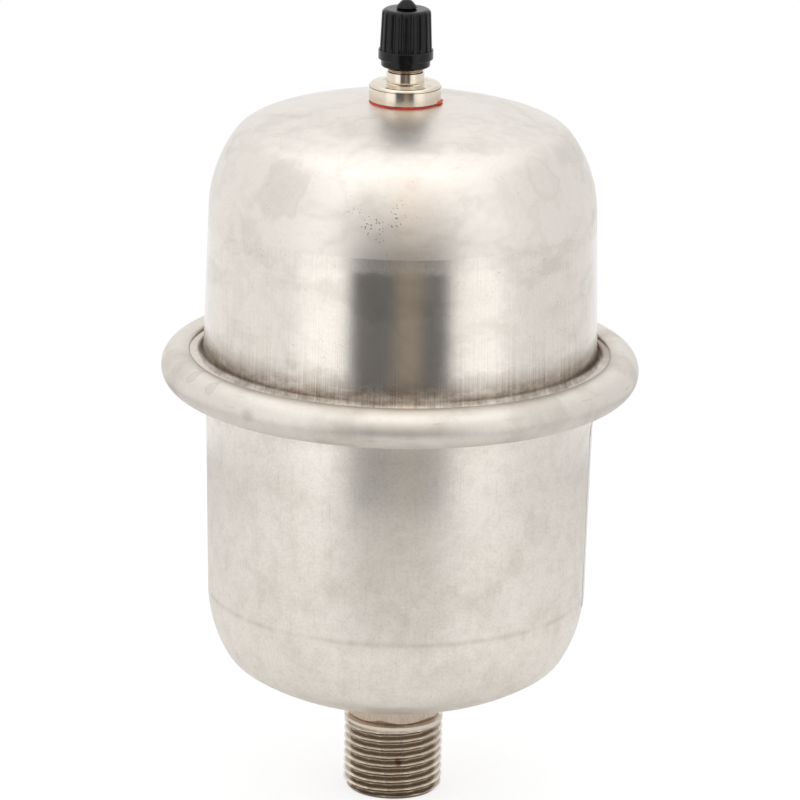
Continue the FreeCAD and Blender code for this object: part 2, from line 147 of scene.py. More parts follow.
class Wire:
    """Shader socket that takes part in Python expressions.

    Each operator adds one Math node to the graph that the socket belongs to.
    """

    def __init__(self, graph: "Graph", socket: bpy.types.NodeSocket) -> None:
        """Keep the graph and the output socket."""
        self.graph = graph
        self.socket = socket

    def math(self, operation: str, *others: "Wire | float") -> "Wire":
        """Result of a Math node with this socket first.

        Args:
            operation: The node's operation.
            others: The second and third values.

        Returns:
            The node's output.
        """
        values = dict(enumerate((self, *others)))
        return self.graph.node("ShaderNodeMath", {"operation": operation}, values)

    def __add__(self, other: "Wire | float") -> "Wire":
        """Sum."""
        return self.math("ADD", other)

    __radd__ = __add__

    def __mul__(self, other: "Wire | float") -> "Wire":
        """Product."""
        return self.math("MULTIPLY", other)

    __rmul__ = __mul__

    def __sub__(self, other: "Wire | float") -> "Wire":
        """Difference."""
        return self.math("SUBTRACT", other)

    def __rsub__(self, other: float) -> "Wire":
        """A number less this socket."""
        return (self * -1.0) + other

    def __truediv__(self, other: "Wire | float") -> "Wire":
        """Quotient."""
        return self.math("DIVIDE", other)

    def smooth(self, low: float, high: float) -> "Wire":
        """Smooth step from 0 at low to 1 at high.

        Args:
            low: Value at which the step starts.
            high: Value at which it ends.

        Returns:
            The eased value, kept between 0 and 1.
        """
        settings = {"interpolation_type": "SMOOTHSTEP"}
        values = {"Value": self, "From Min": low, "From Max": high}
        return self.graph.node("ShaderNodeMapRange", settings, values)

    def between(self, low: float, high: float, soft: float) -> "Wire":
        """Window that is 1 from low to high and fades over soft on both sides."""
        return self.smooth(low - soft, low + soft) * (1.0 - self.smooth(high - soft, high + soft))


class Graph:
    """Node tree of one material or world, filled through node()."""

    def __init__(self, tree: bpy.types.NodeTree) -> None:
        """Empty the tree."""
        self.tree = tree
        tree.nodes.clear()

    def node(
        self,
        kind: str,
        settings: dict[str, object] | None = None,
        values: dict[int | str, object] | None = None,
        output: int | str = 0,
    ) -> Wire:
        """Add a node.

        Args:
            kind: The node's type.
            settings: The node's own properties, set before its sockets.
            values: Numbers, colours or wires for the input sockets, by place or name.
            output: Place or name of the output that is returned.

        Returns:
            The chosen output, or the first input of a node that has no output.
        """
        made = self.tree.nodes.new(kind)
        for name, value in (settings or {}).items():
            setattr(made, name, value)
        for name, value in (values or {}).items():
            socket = made.inputs[name]
            if isinstance(value, Wire):
                self.tree.links.new(value.socket, socket)
            else:
                socket.default_value = value
        return Wire(self, made.outputs[output] if made.outputs else made.inputs[0])

    def mix(self, factor: Wire | float, first: object, second: object) -> Wire:
        """Colour between two colours.

        Args:
            factor: 0 for the first colour, 1 for the second.
            first: Colour or wire.
            second: Colour or wire.

        Returns:
            The mixed colour.
        """
        settings = {"data_type": "RGBA"}
        return self.node("ShaderNodeMix", settings, {0: factor, 6: first, 7: second}, 2)

    def noise(self, place: Wire, scale: float, detail: float = 3.0, rough: float = 0.5) -> Wire:
        """Noise value at a place.

        Args:
            place: Coordinates.
            scale: Features per metre.
            detail: Octaves.
            rough: Share that each octave keeps.

        Returns:
            The noise, mostly between 0.3 and 0.7.
        """
        values = {"Vector": place, "Scale": scale, "Detail": detail, "Roughness": rough}
        return self.node("ShaderNodeTexNoise", {}, values)

    def stretched(self, place: Wire, scale: Sequence[float]) -> Wire:
        """Coordinates multiplied along each axis."""
        values = {0: place, 1: tuple(scale)}
        return self.node("ShaderNodeVectorMath", {"operation": "MULTIPLY"}, values)


class Surface:
    """Where a shaded point lies on the object: its place, radius and turn from the front."""

    def __init__(self, graph: Graph) -> None:
        """Read the object's coordinates, which are the frame's own metres.

        Args:
            graph: The graph that the coordinates are read in.
        """
        self.graph = graph
        self.place = graph.node("ShaderNodeTexCoord", output="Object")
        self.x, self.y, self.z = (
            graph.node("ShaderNodeSeparateXYZ", {}, {0: self.place}, axis) for axis in "XYZ"
        )
        self.radius = (self.x * self.x + self.y * self.y).math("SQRT")
        self.turn = self.x.math("ARCTAN2", self.y * -1.0)

    def wrapped(self, turns: float, per_metre: float) -> Wire:
        """Coordinates that follow a turned surface, for marks that run round or along it.

        Args:
            turns: Scale round the axis, per radian.
            per_metre: Scale along the axis.

        Returns:
            A vector of the scaled turn and height.
        """
        values = {0: self.turn * turns, 1: self.z * per_metre, 2: self.radius * per_metre}
        return self.graph.node("ShaderNodeCombineXYZ", {}, values)


@dataclass(frozen=True)
class Stain:
    """Soft mark of a dried drop or a rust spot on a turned surface.

    turn and height place its centre and radius is its size. fill is the share of the tint
    that covers its inside, the rest lies on its edge.
    """

    turn: float
    height: float
    radius: float
    strength: float = 0.3
    fill: float = 0.4

    def mask(self, surface: Surface, wall_radius: float, ripple: Wire) -> Wire:
        """Strength of the mark at each point.

        Args:
            surface: The point's place.
            wall_radius: Radius of the surface, which turns an angle into a length.
            ripple: Noise that bends the outline.

        Returns:
            0 off the mark, up to its strength on it.
        """
        across = (surface.turn - math.radians(self.turn)) * wall_radius
        along = surface.z - self.height
        reach = (across * across + along * along).math("SQRT")
        reach += (ripple - 0.5) * self.radius * 1.6
        edge = 1.0 - (reach - self.radius).math("ABSOLUTE").smooth(0.0, self.radius * 0.4)
        inside = 1.0 - reach.smooth(self.radius * 0.5, self.radius)
        return (edge * (1.0 - self.fill) + inside * self.fill) * self.strength


def strongest(stains: Sequence[Stain], surface: Surface, wall_radius: float, ripple: Wire) -> Wire:
    """The strongest of several marks at each point.

    Args:
        stains: The marks.
        surface: The point's place.
        wall_radius: Radius of the surface that they lie on.
        ripple: Noise that bends their outlines.

    Returns:
        The strength of the mark.
    """
    total = stains[0].mask(surface, wall_radius, ripple)
    for stain in stains[1:]:
        total = total.math("MAXIMUM", stain.mask(surface, wall_radius, ripple))
    return total


def principled(graph: Graph, values: dict[int | str, object]) -> None:
    """Main shader and the material's output.

    Args:
        graph: The material's graph.
        values: The shader's sockets.
    """
    shader = graph.node("ShaderNodeBsdfPrincipled", {}, values)
    graph.node("ShaderNodeOutputMaterial", {}, {"Surface": shader})


def bump(graph: Graph, height: Wire, distance: float, strength: float = 1.0) -> Wire:
    """Normal of a surface raised by a height.

    Args:
        graph: The material's graph.
        height: Height from 0 to 1.
        distance: Height of a full step, in metres.
        strength: Share of the effect.

    Returns:
        The bumped normal.
    """
    values = {"Strength": strength, "Distance": distance, "Height": height}
    return graph.node("ShaderNodeBump", {}, values)


class Finish:
    """A finish that makes its material once and hands it out to every piece."""

    slot: Slot

    def shade(self, graph: Graph) -> None:
        """Fill the material's graph.

        Args:
            graph: The graph, which is empty.
        """
        raise NotImplementedError

    def material(self) -> bpy.types.Material:
        """Material of this finish, made at the first call."""
        name = f"{self.slot.value}_finish"
        found = bpy.data.materials.get(name)
        if found is not None:
            return found
        made = bpy.data.materials.new(name)
        made.use_nodes = True
        self.shade(Graph(made.node_tree))
        return made


@dataclass(frozen=True)
class PolishedSteel(Finish):
    """Drawn steel of the gas half: a bright streaky wall, a satin dome, a foot darkened by dirt and painted
    shade where it meets the curl, and painted shade in the trough on the right.
    """

    slot: Slot = Slot.POLISHED_STEEL
    colour: Colour = (230, 224, 217)
    warm: Colour = (196, 182, 164)
    grey: Colour = (176, 172, 162)
    dirt: Colour = (104, 84, 64)
    wall_roughness: float = 0.17
    dome_roughness: float = 0.37
    shoulder_roughness: float = 0.27
    wall_radius: float = 0.0403
    wall_top: float = 0.1267
    edge_line: float = 0.0002
    band_drop: float = 0.0030
    band_fade: float = 0.0008
    band_waver: float = 0.002
    seam_height: float = 0.0966
    drawn_height: float = 0.1126
    flare_radius: float = 0.0417
    flare: float = 0.0005
    foot_start: float = 0.002
    foot_end: float = 0.0075
    foot_waver: float = 0.008
    # Angles round the axis where the trough gets painted shade.
    trough_side: tuple[float, float] = (62.0, 125.0)
    speck_heights: tuple[float, float] = (0.1306, 0.1370)
    trough_fade: float = 0.2
    speck_turns: tuple[float, float] = (-15.0, 2.0)
    speck_scale: float = 1700.0
    cluster_scale: float = 380.0
    speck_fade: float = 0.002
    speck_turn_fade: float = 0.08
    relief_height: float = 0.000004
    stains: tuple[Stain, ...] = (
        Stain(-41.0, 0.1374, 0.0050, strength=0.5, fill=0.5),
        Stain(-39.5, 0.1338, 0.0018, strength=0.15),
        Stain(30.0, 0.1334, 0.0030, strength=0.1, fill=0.1),
        Stain(50.0, 0.1394, 0.0040, strength=0.2, fill=0.2),
        Stain(120.0, 0.1306, 0.0055),
        Stain(190.0, 0.1366, 0.0070),
        Stain(160.0, 0.1156, 0.0045),
    )

    def shade(self, graph: Graph) -> None:
        """Fill the material's graph.

        Args:
            graph: The graph, which is empty.
        """
        surface = Surface(graph)
        cloud = graph.noise(surface.place, 55.0, 4.0, 0.6)
        ripple = graph.noise(surface.place, 240.0, 2.0)
        fine = graph.noise(surface.place, 1500.0, 3.0, 0.6)
        streaks = graph.noise(surface.wrapped(300.0, 26.0), 1.0, 4.0, 0.7)
        blotch = graph.noise(surface.wrapped(9.0, 420.0), 1.0, 5.0, 0.65)
        rings = graph.noise(surface.wrapped(20.0, 2600.0), 1.0, 2.0, 0.6)
        smear = graph.noise(graph.stretched(surface.place, (60.0, 60.0, 130.0)), 1.0, 4.0, 0.6)
        dome = surface.z.smooth(self.wall_top - self.edge_line, self.wall_top + self.edge_line)
        band = self.wall_top - self.band_drop
        uneven = surface.z + (blotch - 0.5) * self.band_waver
        shoulder = uneven.smooth(band - self.band_fade, band + self.band_fade)
        drawn = 1.0 - surface.z.smooth(self.seam_height, self.drawn_height)
        flange = surface.radius.smooth(self.flare_radius, self.flare_radius + self.flare)
        above_seam = surface.z - self.seam_height + (blotch - 0.5) * self.foot_waver
        foot = (1.0 - above_seam.smooth(self.foot_start, self.foot_end)) * (1.0 - flange)
        marks = strongest(self.stains, surface, self.wall_radius, ripple)
        specks = self.specks(graph, surface)
        side = surface.turn.between(*map(math.radians, self.trough_side), self.trough_fade)
        # Painted shade in the trough on the right, mottled by the cloud noise.
        caught = flange * side * (0.2 + cloud.smooth(0.44, 0.60) * 0.35)
        # Dirt on the wall's foot, with painted shade where the wall meets the curl.
        foot_tint = foot * (0.18 + blotch.smooth(0.3, 0.75) * 0.5 + streaks.smooth(0.35, 0.75) * 0.3)
        wall_streaks = streaks.smooth(0.35, 0.8) * (1.0 - dome) * (0.4 + drawn * 0.2)
        tired = cloud.smooth(0.5, 0.8) * 0.2 + wall_streaks + flange * 0.35 + (fine - 0.5) * 0.4
        faint = smear.smooth(0.5, 0.66) * 0.22 + cloud.between(0.44, 0.50, 0.03) * 0.12
        base = graph.mix(tired, linear(*self.colour), linear(*self.warm))
        stained = graph.mix(marks.math("MAXIMUM", faint), base, linear(*self.grey))
        # The dirt colour here carries the foot's dirt and painted shade, and the trough's painted shade.
        footed = graph.mix(foot_tint.math("MAXIMUM", caught), stained, linear(*self.dirt))
        speckled = graph.mix(specks, footed, linear(*self.dirt))
        satin = dome * (self.dome_roughness - self.shoulder_roughness)
        satin += shoulder * (self.shoulder_roughness - self.wall_roughness)
        worn = (cloud - 0.5) * 0.08 + (streaks - 0.5) * (1.0 - dome) * 0.12 + (marks + foot) * 0.1
        relief = streaks * (1.0 - dome) * 0.9 + rings * 0.12 + fine * (0.1 + dome * 0.25) + cloud * 0.8
        principled(graph, {
            "Base Color": speckled,
            "Metallic": 1.0,
            "Roughness": self.wall_roughness + satin + worn,
            "Normal": bump(graph, relief, self.relief_height),
        })

    def specks(self, graph: Graph, surface: Surface) -> Wire:
        """Small dark specks above the wall, thickest a little left of the front.

        Args:
            graph: The material's graph.
            surface: The point's place.

        Returns:
            The strength of the specks.
        """
        values = {"Vector": surface.place, "Scale": self.speck_scale}
        cells = graph.node("ShaderNodeTexVoronoi", {"feature": "F1"}, values)
        clusters = graph.noise(surface.place, self.cluster_scale, 3.0)
        band = surface.z.between(*self.speck_heights, self.speck_fade)
        front = surface.turn.between(*map(math.radians, self.speck_turns), self.speck_turn_fade)
        sparse = (clusters + band * front * 0.14).smooth(0.60, 0.66)
        return (1.0 - cells.smooth(0.16, 0.34)) * sparse * (band * front * 0.6 + 0.25)


@dataclass(frozen=True)
class PickledSteel(Finish):
    """Satin steel of the water half: mottled, finely brushed, with a faintly ringed rim."""

    slot: Slot = Slot.PICKLED_STEEL
    colour: Colour = (244, 238, 230)
    shade_colour: Colour = (214, 206, 195)
    rim_colour: Colour = (223, 218, 211)
    dirt: Colour = (96, 80, 64)
    roughness: float = 0.41
    wall_radius: float = 0.0402
    rim_inside: float = 0.0412
    rim_fade: float = 0.001
    wall_foot: float = 0.0454
    ring_width: float = 0.0013
    ring_fade: float = 0.0008
    buffed: tuple[float, float] = (0.066, 0.078)
    relief_height: float = 0.000006
    stains: tuple[Stain, ...] = (
        Stain(-62.0, 0.0962, 0.0010, strength=0.25, fill=0.4),
        Stain(-52.5, 0.0962, 0.0010, strength=0.25, fill=0.4),
        Stain(-38.0, 0.0930, 0.0012, strength=0.3, fill=0.7),
        Stain(-54.5, 0.0706, 0.0045, strength=0.12, fill=0.7),
        Stain(45.0, 0.0668, 0.0040, strength=0.10, fill=0.9),
        Stain(36.7, 0.0594, 0.0034, strength=0.07, fill=0.9),
        Stain(28.0, 0.0526, 0.0045, strength=0.12, fill=0.7),
        Stain(140.0, 0.0656, 0.0065, strength=0.25),
        Stain(215.0, 0.0566, 0.0050, strength=0.25),
    )

    def shade(self, graph: Graph) -> None:
        """Fill the material's graph.

        Args:
            graph: The graph, which is empty.
        """
        surface = Surface(graph)
        cloud = graph.noise(surface.place, 70.0, 4.0, 0.6)
        mottle = graph.noise(surface.place, 260.0, 5.0, 0.65)
        ripple = graph.noise(surface.place, 240.0, 2.0)
        fine = graph.noise(surface.place, 1800.0, 3.0, 0.7)
        brush = graph.noise(surface.wrapped(60.0, 6000.0), 1.0, 3.0, 0.7)
        scratch = graph.noise(surface.wrapped(420.0, 60.0), 1.0, 2.0, 0.6).smooth(0.66, 0.72)
        rim = surface.radius.smooth(self.rim_inside, self.rim_inside + self.rim_fade)
        marks = strongest(self.stains, surface, self.wall_radius, ripple)
        tint = (cloud.smooth(0.42, 0.75) + mottle.smooth(0.4, 0.7) + fine.smooth(0.4, 0.65)) * 0.3
        ground = graph.mix(rim, linear(*self.colour), linear(*self.rim_colour))
        ring = surface.z.between(self.wall_foot - self.ring_width, self.wall_foot, self.ring_fade)
        ring = ring * (0.35 + mottle.smooth(0.35, 0.65) * 0.6)
        base = graph.mix(tint.math("MAXIMUM", ring), ground, linear(*self.shade_colour))
        patches = cloud.smooth(0.48, 0.64) * rim * 0.14
        stained = graph.mix(marks.math("MAXIMUM", patches), base, linear(*self.dirt))
        turned = graph.noise(surface.wrapped(5.0, 2600.0), 1.0, 2.0, 0.6).smooth(0.66, 0.70) * rim
        scored = scratch * 0.25 * (1.0 - rim) + turned * mottle.smooth(0.45, 0.6) * 0.3
        scratched = graph.mix(scored, stained, linear(*self.dirt))
        polished = surface.z.smooth(*self.buffed) * (1.0 - rim) * 0.11
        worn = (mottle - 0.5) * 0.16 + (cloud - 0.5) * 0.10 + marks * 0.1
        relief = brush * (1.0 - rim) * 0.30 + fine * 0.9 + mottle * 0.6 + cloud * 0.8
        principled(graph, {
            "Base Color": scratched,
            "Metallic": 1.0,
            "Roughness": self.roughness - polished + rim * 0.05 + worn,
            "Normal": bump(graph, relief, self.relief_height),
        })


@dataclass(frozen=True)
class TurnedSteel(Finish):
    """Turned nipple: brushed warm hexagon, bright thread crests and thread roots painted darker brown as
    shade.
    """

    slot: Slot = Slot.TURNED_STEEL
    colour: Colour = (226, 217, 205)
    hexagon_colour: Colour = (190, 170, 150)
    # Darker brown painted into the thread roots as shade.
    root: Colour = (156, 142, 125)
    rust: Colour = (112, 70, 40)
    crest_radius: float = 0.0104775
    thread_depth: float = 0.00116
    thread_top: float = 0.0150
    thread_fade: float = 0.0002
    hexagon_foot: float = 0.0164
    bore_radius: float = 0.0064
    bore_fade: float = 0.001
    relief_height: float = 0.000006
    stains: tuple[Stain, ...] = (
        Stain(66.0, 0.0193, 0.0009, strength=0.8, fill=0.8),
        Stain(6.5, 0.0085, 0.0008, strength=0.8, fill=0.8),
        Stain(205.0, 0.0181, 0.0011, strength=0.7, fill=0.8),
    )

    def shade(self, graph: Graph) -> None:
        """Fill the material's graph.

        Args:
            graph: The graph, which is empty.
        """
        surface = Surface(graph)
        cloud = graph.noise(surface.place, 300.0, 4.0, 0.65)
        ripple = graph.noise(surface.place, 900.0, 2.0)
        brush = graph.noise(graph.stretched(surface.place, (3200.0, 3200.0, 700.0)), 1.0, 3.0, 0.6)
        threaded = 1.0 - surface.z.smooth(self.thread_top, self.thread_top + self.thread_fade)
        hexagon = surface.z.smooth(self.hexagon_foot, self.hexagon_foot + 0.5 * self.thread_fade)
        outside = surface.radius.smooth(self.bore_radius, self.bore_radius + self.bore_fade)
        depth = (self.crest_radius - surface.radius) / self.thread_depth + (cloud - 0.5) * 0.4
        # Mask of the painted shade in the thread roots.
        in_root = depth.smooth(0.10, 0.55) * threaded * outside
        rusted = strongest(self.stains, surface, self.crest_radius, ripple)
        spot = rusted.math("MAXIMUM", cloud.smooth(0.70, 0.76) * 0.35)
        worn = hexagon * (0.55 + brush.smooth(0.4, 0.7) * 0.45)
        metal = graph.mix(worn, linear(*self.colour), linear(*self.hexagon_colour))
        base = graph.mix(in_root * 0.95, metal, linear(*self.root))
        spotted = graph.mix(spot, base, linear(*self.rust))
        rough = 0.10 + brush * 0.04 + hexagon * 0.28 + spot * 0.2
        relief = brush * (0.03 + hexagon * 0.6) + cloud * (0.08 + hexagon * 0.4)
        principled(graph, {
            "Base Color": spotted,
            "Metallic": 1.0,
            "Roughness": rough,
            "Normal": bump(graph, relief, self.relief_height),
        })


@dataclass(frozen=True)
class NickelPlate(Finish):
    """Plated valve body, with turning lines on its base and a browner thread."""

    slot: Slot = Slot.NICKEL_PLATE
    colour: Colour = (225, 214, 198)
    tarnish: Colour = (122, 92, 62)
    base_radius: float = 0.0050
    base_fade: float = 0.0005
    thread_foot: float = 0.1567
    step_height: float = 0.1531
    thread_fade: float = 0.0001
    line_below: float = 0.00008
    line_above: float = 0.00006
    line_soft: float = 0.00003
    relief_height: float = 0.000008

    def shade(self, graph: Graph) -> None:
        """Fill the material's graph.

        Args:
            graph: The graph, which is empty.
        """
        surface = Surface(graph)
        cloud = graph.noise(surface.place, 420.0, 4.0, 0.6)
        lathe = graph.noise(surface.wrapped(2.0, 9000.0), 1.0, 2.0, 0.6)
        above = surface.z - self.thread_foot
        thread = above.smooth(-self.thread_fade, 2.0 * self.thread_fade)
        narrow = 1.0 - surface.radius.smooth(self.base_radius, self.base_radius + self.base_fade)
        step = (surface.z - self.step_height).between(-self.line_below, self.line_above, self.line_soft)
        worn = thread * narrow * 0.75 + cloud.smooth(0.55, 0.75) * 0.25
        tint = worn.math("MAXIMUM", step * 0.9)
        rough = 0.06 + cloud * 0.12 + thread * 0.14
        principled(graph, {
            "Base Color": graph.mix(tint, linear(*self.colour), linear(*self.tarnish)),
            "Metallic": 1.0,
            "Roughness": rough,
            "Normal": bump(graph, lathe * 0.4 + cloud * 1.4, self.relief_height),
        })


@dataclass(frozen=True)
class PlainMetal(Finish):
    """Metal with a light turned or brushed grain, for the small inner pieces and the braze."""

    slot: Slot
    colour: Colour
    shade_colour: Colour
    roughness: float
    grain: float = 4000.0
    relief_height: float = 0.000006

    def shade(self, graph: Graph) -> None:
        """Fill the material's graph.

        Args:
            graph: The graph, which is empty.
        """
        surface = Surface(graph)
        cloud = graph.noise(surface.place, 500.0, 4.0, 0.6)
        lathe = graph.noise(surface.wrapped(3.0, self.grain), 1.0, 2.0, 0.6)
        tint = cloud.smooth(0.4, 0.7)
        principled(graph, {
            "Base Color": graph.mix(tint, linear(*self.colour), linear(*self.shade_colour)),
            "Metallic": 1.0,
            "Roughness": self.roughness + (cloud - 0.5) * 0.2,
            "Normal": bump(graph, lathe * 0.4 + cloud, self.relief_height),
        })


@dataclass(frozen=True)
class PlainSolid(Finish):
    """Rubber, plastic, gasket board or paper: a coloured body with a fine uneven skin."""

    slot: Slot
    colour: Colour
    shade_colour: Colour
    roughness: float
    grain: float = 1800.0
    relief_height: float = 0.00002
    clouds: float = 260.0
    gloss: float = 0.5

    def shade(self, graph: Graph) -> None:
        """Fill the material's graph.

        Args:
            graph: The graph, which is empty.
        """
        surface = Surface(graph)
        cloud = graph.noise(surface.place, self.clouds, 4.0, 0.6)
        fine = graph.noise(surface.place, self.grain, 3.0, 0.6)
        tint = cloud.smooth(0.42, 0.68)
        principled(graph, {
            "Base Color": graph.mix(tint, linear(*self.colour), linear(*self.shade_colour)),
            "Roughness": self.roughness + (cloud - 0.5) * 0.15,
            "Specular IOR Level": self.gloss,
            "Normal": bump(graph, fine + cloud * 0.6, self.relief_height, 0.8),
        })


class Outline:
    """Half section of a turned piece, walked from point to point in metres."""

    def __init__(self, radius: float, height: float) -> None:
        """Start at a point."""
        self.points: list[Point] = [(radius, height)]

    def line(self, radius: float, height: float, pieces: int = 1) -> "Outline":
        """Straight step.

        Args:
            radius: Distance of the end point from the axis.
            height: Height of the end point.
            pieces: Number of equal parts, for surfaces that are shaped later.

        Returns:
            This outline.
        """
        start_r, start_z = self.points[-1]
        for index in range(1, pieces + 1):
            share = index / pieces
            r = start_r + (radius - start_r) * share
            z = start_z + (height - start_z) * share
            self.points.append((r, z))
        return self

    def arc(self, centre: Point, radius: float, start: float, end: float, step: float = 4.0) -> "Outline":
        """Round step.

        Args:
            centre: Centre of the circle in the section.
            radius: Its radius.
            start: Angle in degrees at which the step starts.
            end: Angle at which it ends.
            step: Largest angle between two points.

        Returns:
            This outline.
        """
        count = max(2, math.ceil(abs(end - start) / step))
        for index in range(count + 1):
            turn = math.radians(start + (end - start) * index / count)
            point = (centre[0] + radius * math.cos(turn), centre[1] + radius * math.sin(turn))
            if math.dist(point, self.points[-1]) > 1e-6:
                self.points.append(point)
        return self

    def rows(self) -> list[Row]:
        """The points as rows of a turned skin."""
        return [lambda turn, point=point: point for point in self.points]


def thread_flank(share: float) -> float:
    """Depth of a rounded V thread.

    Args:
        share: Place along the axis in pitches, of which the whole part doesn't matter.

    Returns:
        The depth, 0 on the crest and 1 in the root.
    """
    crest, flank, straight_share = 0.04, 0.80, 0.65
    away = 2.0 * abs(share - math.floor(share) - 0.5)
    straight = min(max((away - crest) / flank, 0.0), 1.0)
    rounded = ease(away, 0.5 * crest, crest + flank + 0.5 * crest)
    return straight_share * straight + (1.0 - straight_share) * rounded


def even_turns(count: int) -> list[float]:
    """Angles of the columns of a skin, in radians from +X."""
    return [2.0 * math.pi * index / count for index in range(count)]


def mesh_piece(
    name: str,
    vertices: Sequence[Sequence[float]],
    faces: Sequence[Sequence[int]],
    sharp: float,
) -> bpy.types.Object:
    """Smooth-shaded object made of a mesh, linked to the scene.

    Args:
        name: Name of the piece.
        vertices: Its points, in the frame's metres.
        faces: Its faces, counterclockwise from outside.
        sharp: Angle in degrees above which an edge stays crisp.

    Returns:
        The new object.
    """
    mesh = bpy.data.meshes.new(name)
    mesh.from_pydata(vertices, [], faces)
    mesh.validate()
    mesh.shade_smooth()
    mesh.set_sharp_from_angle(angle=math.radians(sharp))
    piece = bpy.data.objects.new(name, mesh)
    bpy.context.scene.collection.objects.link(piece)
    return piece


def skin(name: str, rows: Sequence[Row], turns: Sequence[float], sharp: float) -> bpy.types.Object:
    """Closed mesh of rings round the axis, facing outwards.

    Args:
        name: Name of the piece.
        rows: Each gives the radius and height of one ring at an angle. A row at the axis
            becomes a single point. The last row joins the first.
        turns: Angles of the columns, in radians from +X.
        sharp: Angle in degrees above which an edge stays crisp.

    Returns:
        The new object.
    """
    section = [row(turns[0]) for row in rows]
    following = section[1:] + section[:1]
    area = sum(r * next_z - next_r * z for (r, z), (next_r, next_z) in zip(section, following))
    vertices: list[tuple[float, float, float]] = []
    rings: list[list[int]] = []
    for row in rows if area > 0.0 else reversed(rows):
        points = [row(turn) for turn in turns]
        if max(radius for radius, _ in points) < 1e-7:
            rings.append([len(vertices)] * len(turns))
            vertices.append((0.0, 0.0, points[0][1]))
            continue
        rings.append(list(range(len(vertices), len(vertices) + len(turns))))
        for turn, (radius, height) in zip(turns, points):
            vertices.append((radius * math.cos(turn), radius * math.sin(turn), height))
    faces: list[tuple[int, ...]] = []
    for lower, upper in zip(rings, rings[1:] + rings[:1]):
        for index in range(len(turns)):
            after = (index + 1) % len(turns)
            corners = (lower[index], lower[after], upper[after], upper[index])
            face = tuple(dict.fromkeys(corners))
            if len(face) > 2:
                faces.append(face)
    return mesh_piece(name, vertices, faces, sharp)


def dress(piece: bpy.types.Object, finish: Finish, body: Body, *nodes: str) -> None:
    """Give a new piece its finish and its body, and hide the nodes that it stands for.

    Args:
        piece: The piece, in its place.
        finish: Its finish.
        body: The body that it rides on.
        nodes: Nodes of the frame that it replaces.
    """
    piece.data.materials.append(finish.material())
    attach(piece, body.value)
    if nodes:
        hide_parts(*nodes)
    log.info("%s: %d faces, %s", piece.name, len(piece.data.polygons), finish.slot.value)


def dress_node(name: str, finish: Finish) -> None:
    """Give a solid of the frame its finish.

    Args:
        name: Name of the node.
        finish: Its finish.
    """
    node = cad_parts[name]
    if not node.material_slots:
        node.data.materials.append(None)
    for place in node.material_slots:
        place.material = finish.material()
    log.info("%s: solid of the frame, %s", name, finish.slot.value)


@dataclass(frozen=True)
class DishedEnd:
    """Outline of a dished end: four tangent arcs, of which the last closes on the axis."""

    wall_radius: float
    wall_height: float
    facing: Facing
    shoulder_radius: float
    shoulder_turn: float
    knuckle_turn: float
    haunch_radius: float
    haunch_turn: float
    knuckle_radius: float
    step: float = 0.0011

    def rise(self) -> float:
        """Height of the dish from the end of the wall to its top."""
        return abs(self.crown_height(0.0) - self.wall_height)

    def arcs(self) -> list[tuple[Point, float, float, float]]:
        """Centre, radius, start and end angle of each arc, from the wall to the axis."""
        turns = (0.0, self.shoulder_turn, self.knuckle_turn, self.haunch_turn)
        found = []
        r, rise = self.wall_radius, 0.0
        for index, radius in enumerate((self.shoulder_radius, self.knuckle_radius, self.haunch_radius)):
            start, end = math.radians(turns[index]), math.radians(turns[index + 1])
            centre = (r - radius * math.cos(start), rise - radius * math.sin(start))
            found.append((self.placed(centre), radius, turns[index], turns[index + 1]))
            r, rise = centre[0] + radius * math.cos(end), centre[1] + radius * math.sin(end)
        last = math.radians(self.haunch_turn)
        crown = r / math.cos(last)
        found.append((self.placed((0.0, rise - crown * math.sin(last))), crown, self.haunch_turn, 90.0))
        return found

    def placed(self, centre: Point) -> Point:
        """Centre of an arc at the dish's own height."""
        return (centre[0], self.wall_height + self.facing.value * centre[1])

    def crown_height(self, radius: float, offset: float = 0.0) -> float:
        """Height of the crown at a distance from the axis, on the surface moved out by offset."""
        centre, crown, _, _ = self.arcs()[3]
        return centre[1] + self.facing.value * math.sqrt((crown + offset) ** 2 - radius ** 2)

    def walk(self, outline: Outline, offset: float, hole: float, outward: bool) -> None:
        """Add the dish to an outline.

        Args:
            outline: The outline, which stands at the wall, or at the hole where outward.
            offset: Distance of the surface from the dish, positive outside.
            hole: Radius of the hole on the axis.
            outward: Whether the walk goes from the hole to the wall.
        """
        side = self.facing.value
        arcs = self.arcs()
        centre, crown, start, _ = arcs[3]
        arcs[3] = (centre, crown, start, math.degrees(math.acos(hole / (crown + offset))))
        for centre, radius, start, end in reversed(arcs) if outward else arcs:
            first, last = (end, start) if outward else (start, end)
            step = min(4.0, math.degrees(self.step / radius))
            outline.arc(centre, radius + offset, side * first, side * last, step)


